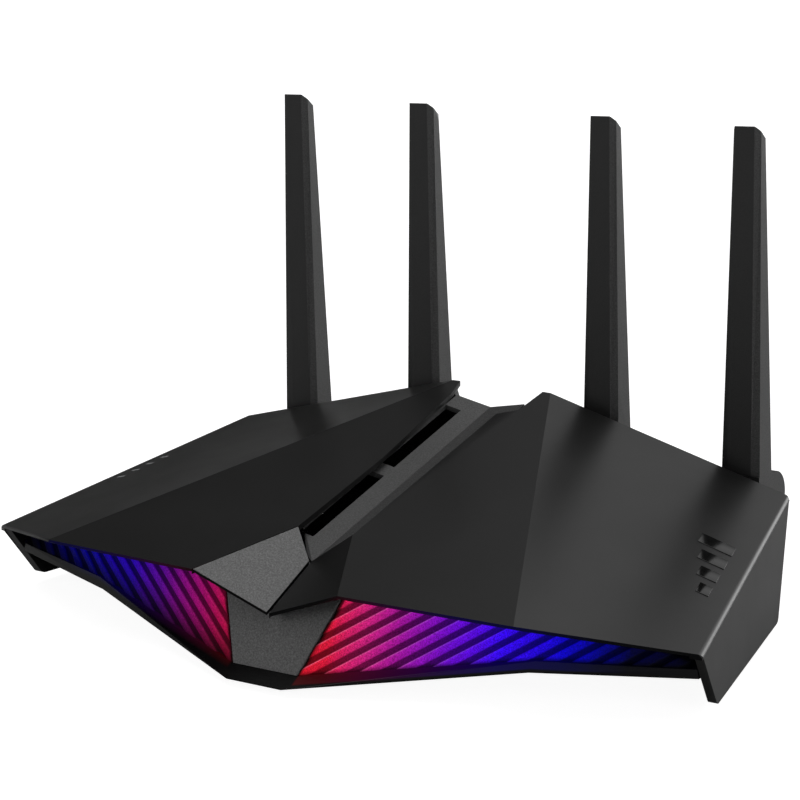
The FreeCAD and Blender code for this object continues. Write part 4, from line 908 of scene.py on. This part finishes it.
# where the row of bars starts and ends in plan, and the bars' sizes
MARK_START = (123.5, -19.0)
MARK_END = (115.5, 20.0)
MARK_BARS = 4
MARK_FIRST = 4.5
MARK_GROWTH = 2.6
MARK_WIDTH_SHARE = 0.62
MARK_LEAN = 0.25
MARK_HEIGHT = 0.25
MARK_SUNK_SHARE = 0.2
MARK_RADIUS = 0.12


def on_cover(tree, x, y):
    """The place on the cover's top above a point of the plan, and the surface's direction there."""
    high_above = Vector((x, y, 200)) * MM
    return tree.ray_cast(high_above, Vector((0, 0, -1)))[:2]


def raise_plate(shape, outline, rise):
    """A thin plate on an outline, sunk a little into the surface below."""
    low = [shape.verts.new(corner - rise * MARK_SUNK_SHARE) for corner in outline]
    high = [shape.verts.new(corner + rise) for corner in outline]
    shape.faces.new(low)
    shape.faces.new(high[::-1])
    for i in range(len(outline)):
        j = (i + 1) % len(outline)
        shape.faces.new([low[i], high[i], high[j], low[j]])


def signal_mark():
    """A plain emblem of four rising bars, beside the fin: thin glossy plates on the cover."""
    tree = surface_tree(nodes["right_cover"].data)
    start, normal = on_cover(tree, *MARK_START)
    end = on_cover(tree, *MARK_END)[0]
    along = (end - start).normalized()
    inward = normal.cross(along).normalized()
    pitch = (end - start).length / MARK_BARS
    width = along * pitch * MARK_WIDTH_SHARE
    shape = bmesh.new()
    for i in range(MARK_BARS):
        height = (MARK_FIRST + MARK_GROWTH * i) * MM
        foot = start + along * pitch * i
        head = foot + inward * height + along * height * MARK_LEAN
        raise_plate(shape, [foot, foot + width, head + width, head], normal * MARK_HEIGHT * MM)
    bmesh.ops.recalc_face_normals(shape, faces=shape.faces)
    soften(shape, MARK_RADIUS, least_turn=60, least_length=1.0)
    piece = link_mesh("cover_emblem", shape, "emblem")
    smooth(piece.data)
    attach(piece, "housing")


signal_mark()


# ---------------------------------------------------------------- stage, camera and light

FLOOR_HALF_WIDTH = 7.0
PAPER_DARK = grey(0.41)
PAPER_LIGHT = grey(0.43)
PAPER_PATCH = 60.0
PAPER_GLOW = 0.93


def paper():
    """White paper: to the camera it is lit from within, and it throws little light on the router."""
    material = new_material("floor_paper", grey(0.42), roughness=0.9, specular=0.1)
    shader = shader_of(material)
    tone = ramp(material, noise(material, PAPER_PATCH), [(0.3, PAPER_DARK), (0.7, PAPER_LIGHT)])
    wire(material, tone, shader.inputs["Base Color"])
    shader.inputs["Emission Color"].default_value = (1, 1, 1, 1)
    seen = add_node(material, "ShaderNodeLightPath").outputs["Is Camera Ray"]
    glow = remapped(material, seen, 0.0, PAPER_GLOW, 0.0, 1.0)
    wire(material, glow, shader.inputs["Emission Strength"])
    return material


def stage_floor():
    """A pale seamless floor."""
    shape = bmesh.new()
    bmesh.ops.create_grid(shape, x_segments=8, y_segments=8, size=FLOOR_HALF_WIDTH)
    floor = link_mesh("floor", shape, "tray")
    floor.data.materials.clear()
    floor.data.materials.append(paper())


# the camera's place in millimetres, and its turn, height and roll in degrees
CAMERA_PLACE = (475.2, -742.52, 300.05)
CAMERA_AROUND = 32.718
CAMERA_ABOVE = 14.287
CAMERA_ROLL = -1.070
CAMERA_LENS = 120.9
SENSOR_WIDTH = 36.0


def camera():
    """The camera in front of the router's right half, a little above it."""
    around, above, roll = (math.radians(turn) for turn in (CAMERA_AROUND, CAMERA_ABOVE, CAMERA_ROLL))
    back = Vector((math.sin(around) * math.cos(above), -math.cos(around) * math.cos(above), math.sin(above)))
    level = Vector((math.cos(around), math.sin(around), 0))
    up = back.cross(level)
    right = math.cos(roll) * level + math.sin(roll) * up
    rise = math.cos(roll) * up - math.sin(roll) * level
    data = bpy.data.cameras.new("camera")
    data.sensor_width = SENSOR_WIDTH
    data.lens = CAMERA_LENS
    data.clip_start = 0.05
    data.clip_end = 40
    eye = bpy.data.objects.new("camera", data)
    turned = Matrix((right, rise, back)).transposed().to_4x4()
    eye.matrix_world = Matrix.Translation(Vector(CAMERA_PLACE) * MM) @ turned
    bpy.context.scene.collection.objects.link(eye)
    bpy.context.scene.camera = eye


def direction(around, above):
    """Towards a place in the sky: degrees from +Y towards +X, and degrees above the floor."""
    turn, height = math.radians(around), math.radians(above)
    level = math.cos(height)
    return Vector((math.sin(turn) * level, math.cos(turn) * level, math.sin(height)))


def sun(name, around, above, strength, spread):
    """A broad even lamp."""
    data = bpy.data.lights.new(name, "SUN")
    data.energy = strength
    data.angle = math.radians(spread)
    lamp = bpy.data.objects.new(name, data)
    toward = direction(around, above)
    lamp.rotation_mode = "QUATERNION"
    lamp.rotation_quaternion = toward.to_track_quat("Z", "Y")
    bpy.context.scene.collection.objects.link(lamp)


PANELS = {
    # around, above, cosines at the panel's faint and full edges, brightness
    "high_rear": (16.0, 58.0, 0.71, 0.95, 0.86),
    "right_strip": (118.0, 18.0, 0.9, 0.98, 2.0),
    "backdrop": (26.0, 4.0, 0.86, 0.97, 3.6),
    "front_fill": (-143.0, 22.0, 0.85, 0.97, 0.85),
}
STUDIO_DARK = 0.045


def soft_panel(tree, place, around, above, faint, full, strength):
    """The light of one panel in the sky, strongest at its middle."""
    toward = tree.nodes.new("ShaderNodeVectorMath")
    toward.operation = "DOT_PRODUCT"
    toward.inputs[1].default_value = direction(around, above)
    tree.links.new(place, toward.inputs[0])
    band = tree.nodes.new("ShaderNodeMapRange")
    band.interpolation_type = "SMOOTHSTEP"
    band.inputs["From Min"].default_value = faint
    band.inputs["From Max"].default_value = full
    band.inputs["To Min"].default_value = 0.0
    band.inputs["To Max"].default_value = strength
    tree.links.new(toward.outputs["Value"], band.inputs["Value"])
    return band.outputs["Result"]


def surroundings():
    """A dim studio with a few large soft panels."""
    world = bpy.data.worlds.new("studio")
    world.use_nodes = True
    bpy.context.scene.world = world
    tree = world.node_tree
    background = tree.nodes["Background"]
    place = tree.nodes.new("ShaderNodeTexCoord").outputs["Generated"]
    total = None
    for settings in PANELS.values():
        both = tree.nodes.new("ShaderNodeMath")
        both.operation = "ADD"
        both.inputs[1].default_value = STUDIO_DARK
        tree.links.new(soft_panel(tree, place, *settings), both.inputs[0])
        if total is not None:
            tree.links.new(total, both.inputs[1])
        total = both.outputs["Value"]
    tree.links.new(total, background.inputs["Strength"])
    background.inputs["Color"].default_value = (1, 1, 1, 1)


stage_floor()
camera()
sun("key", around=-140, above=80, strength=0.9, spread=50)
surroundings()
bpy.context.scene.view_settings.view_transform = "Standard"
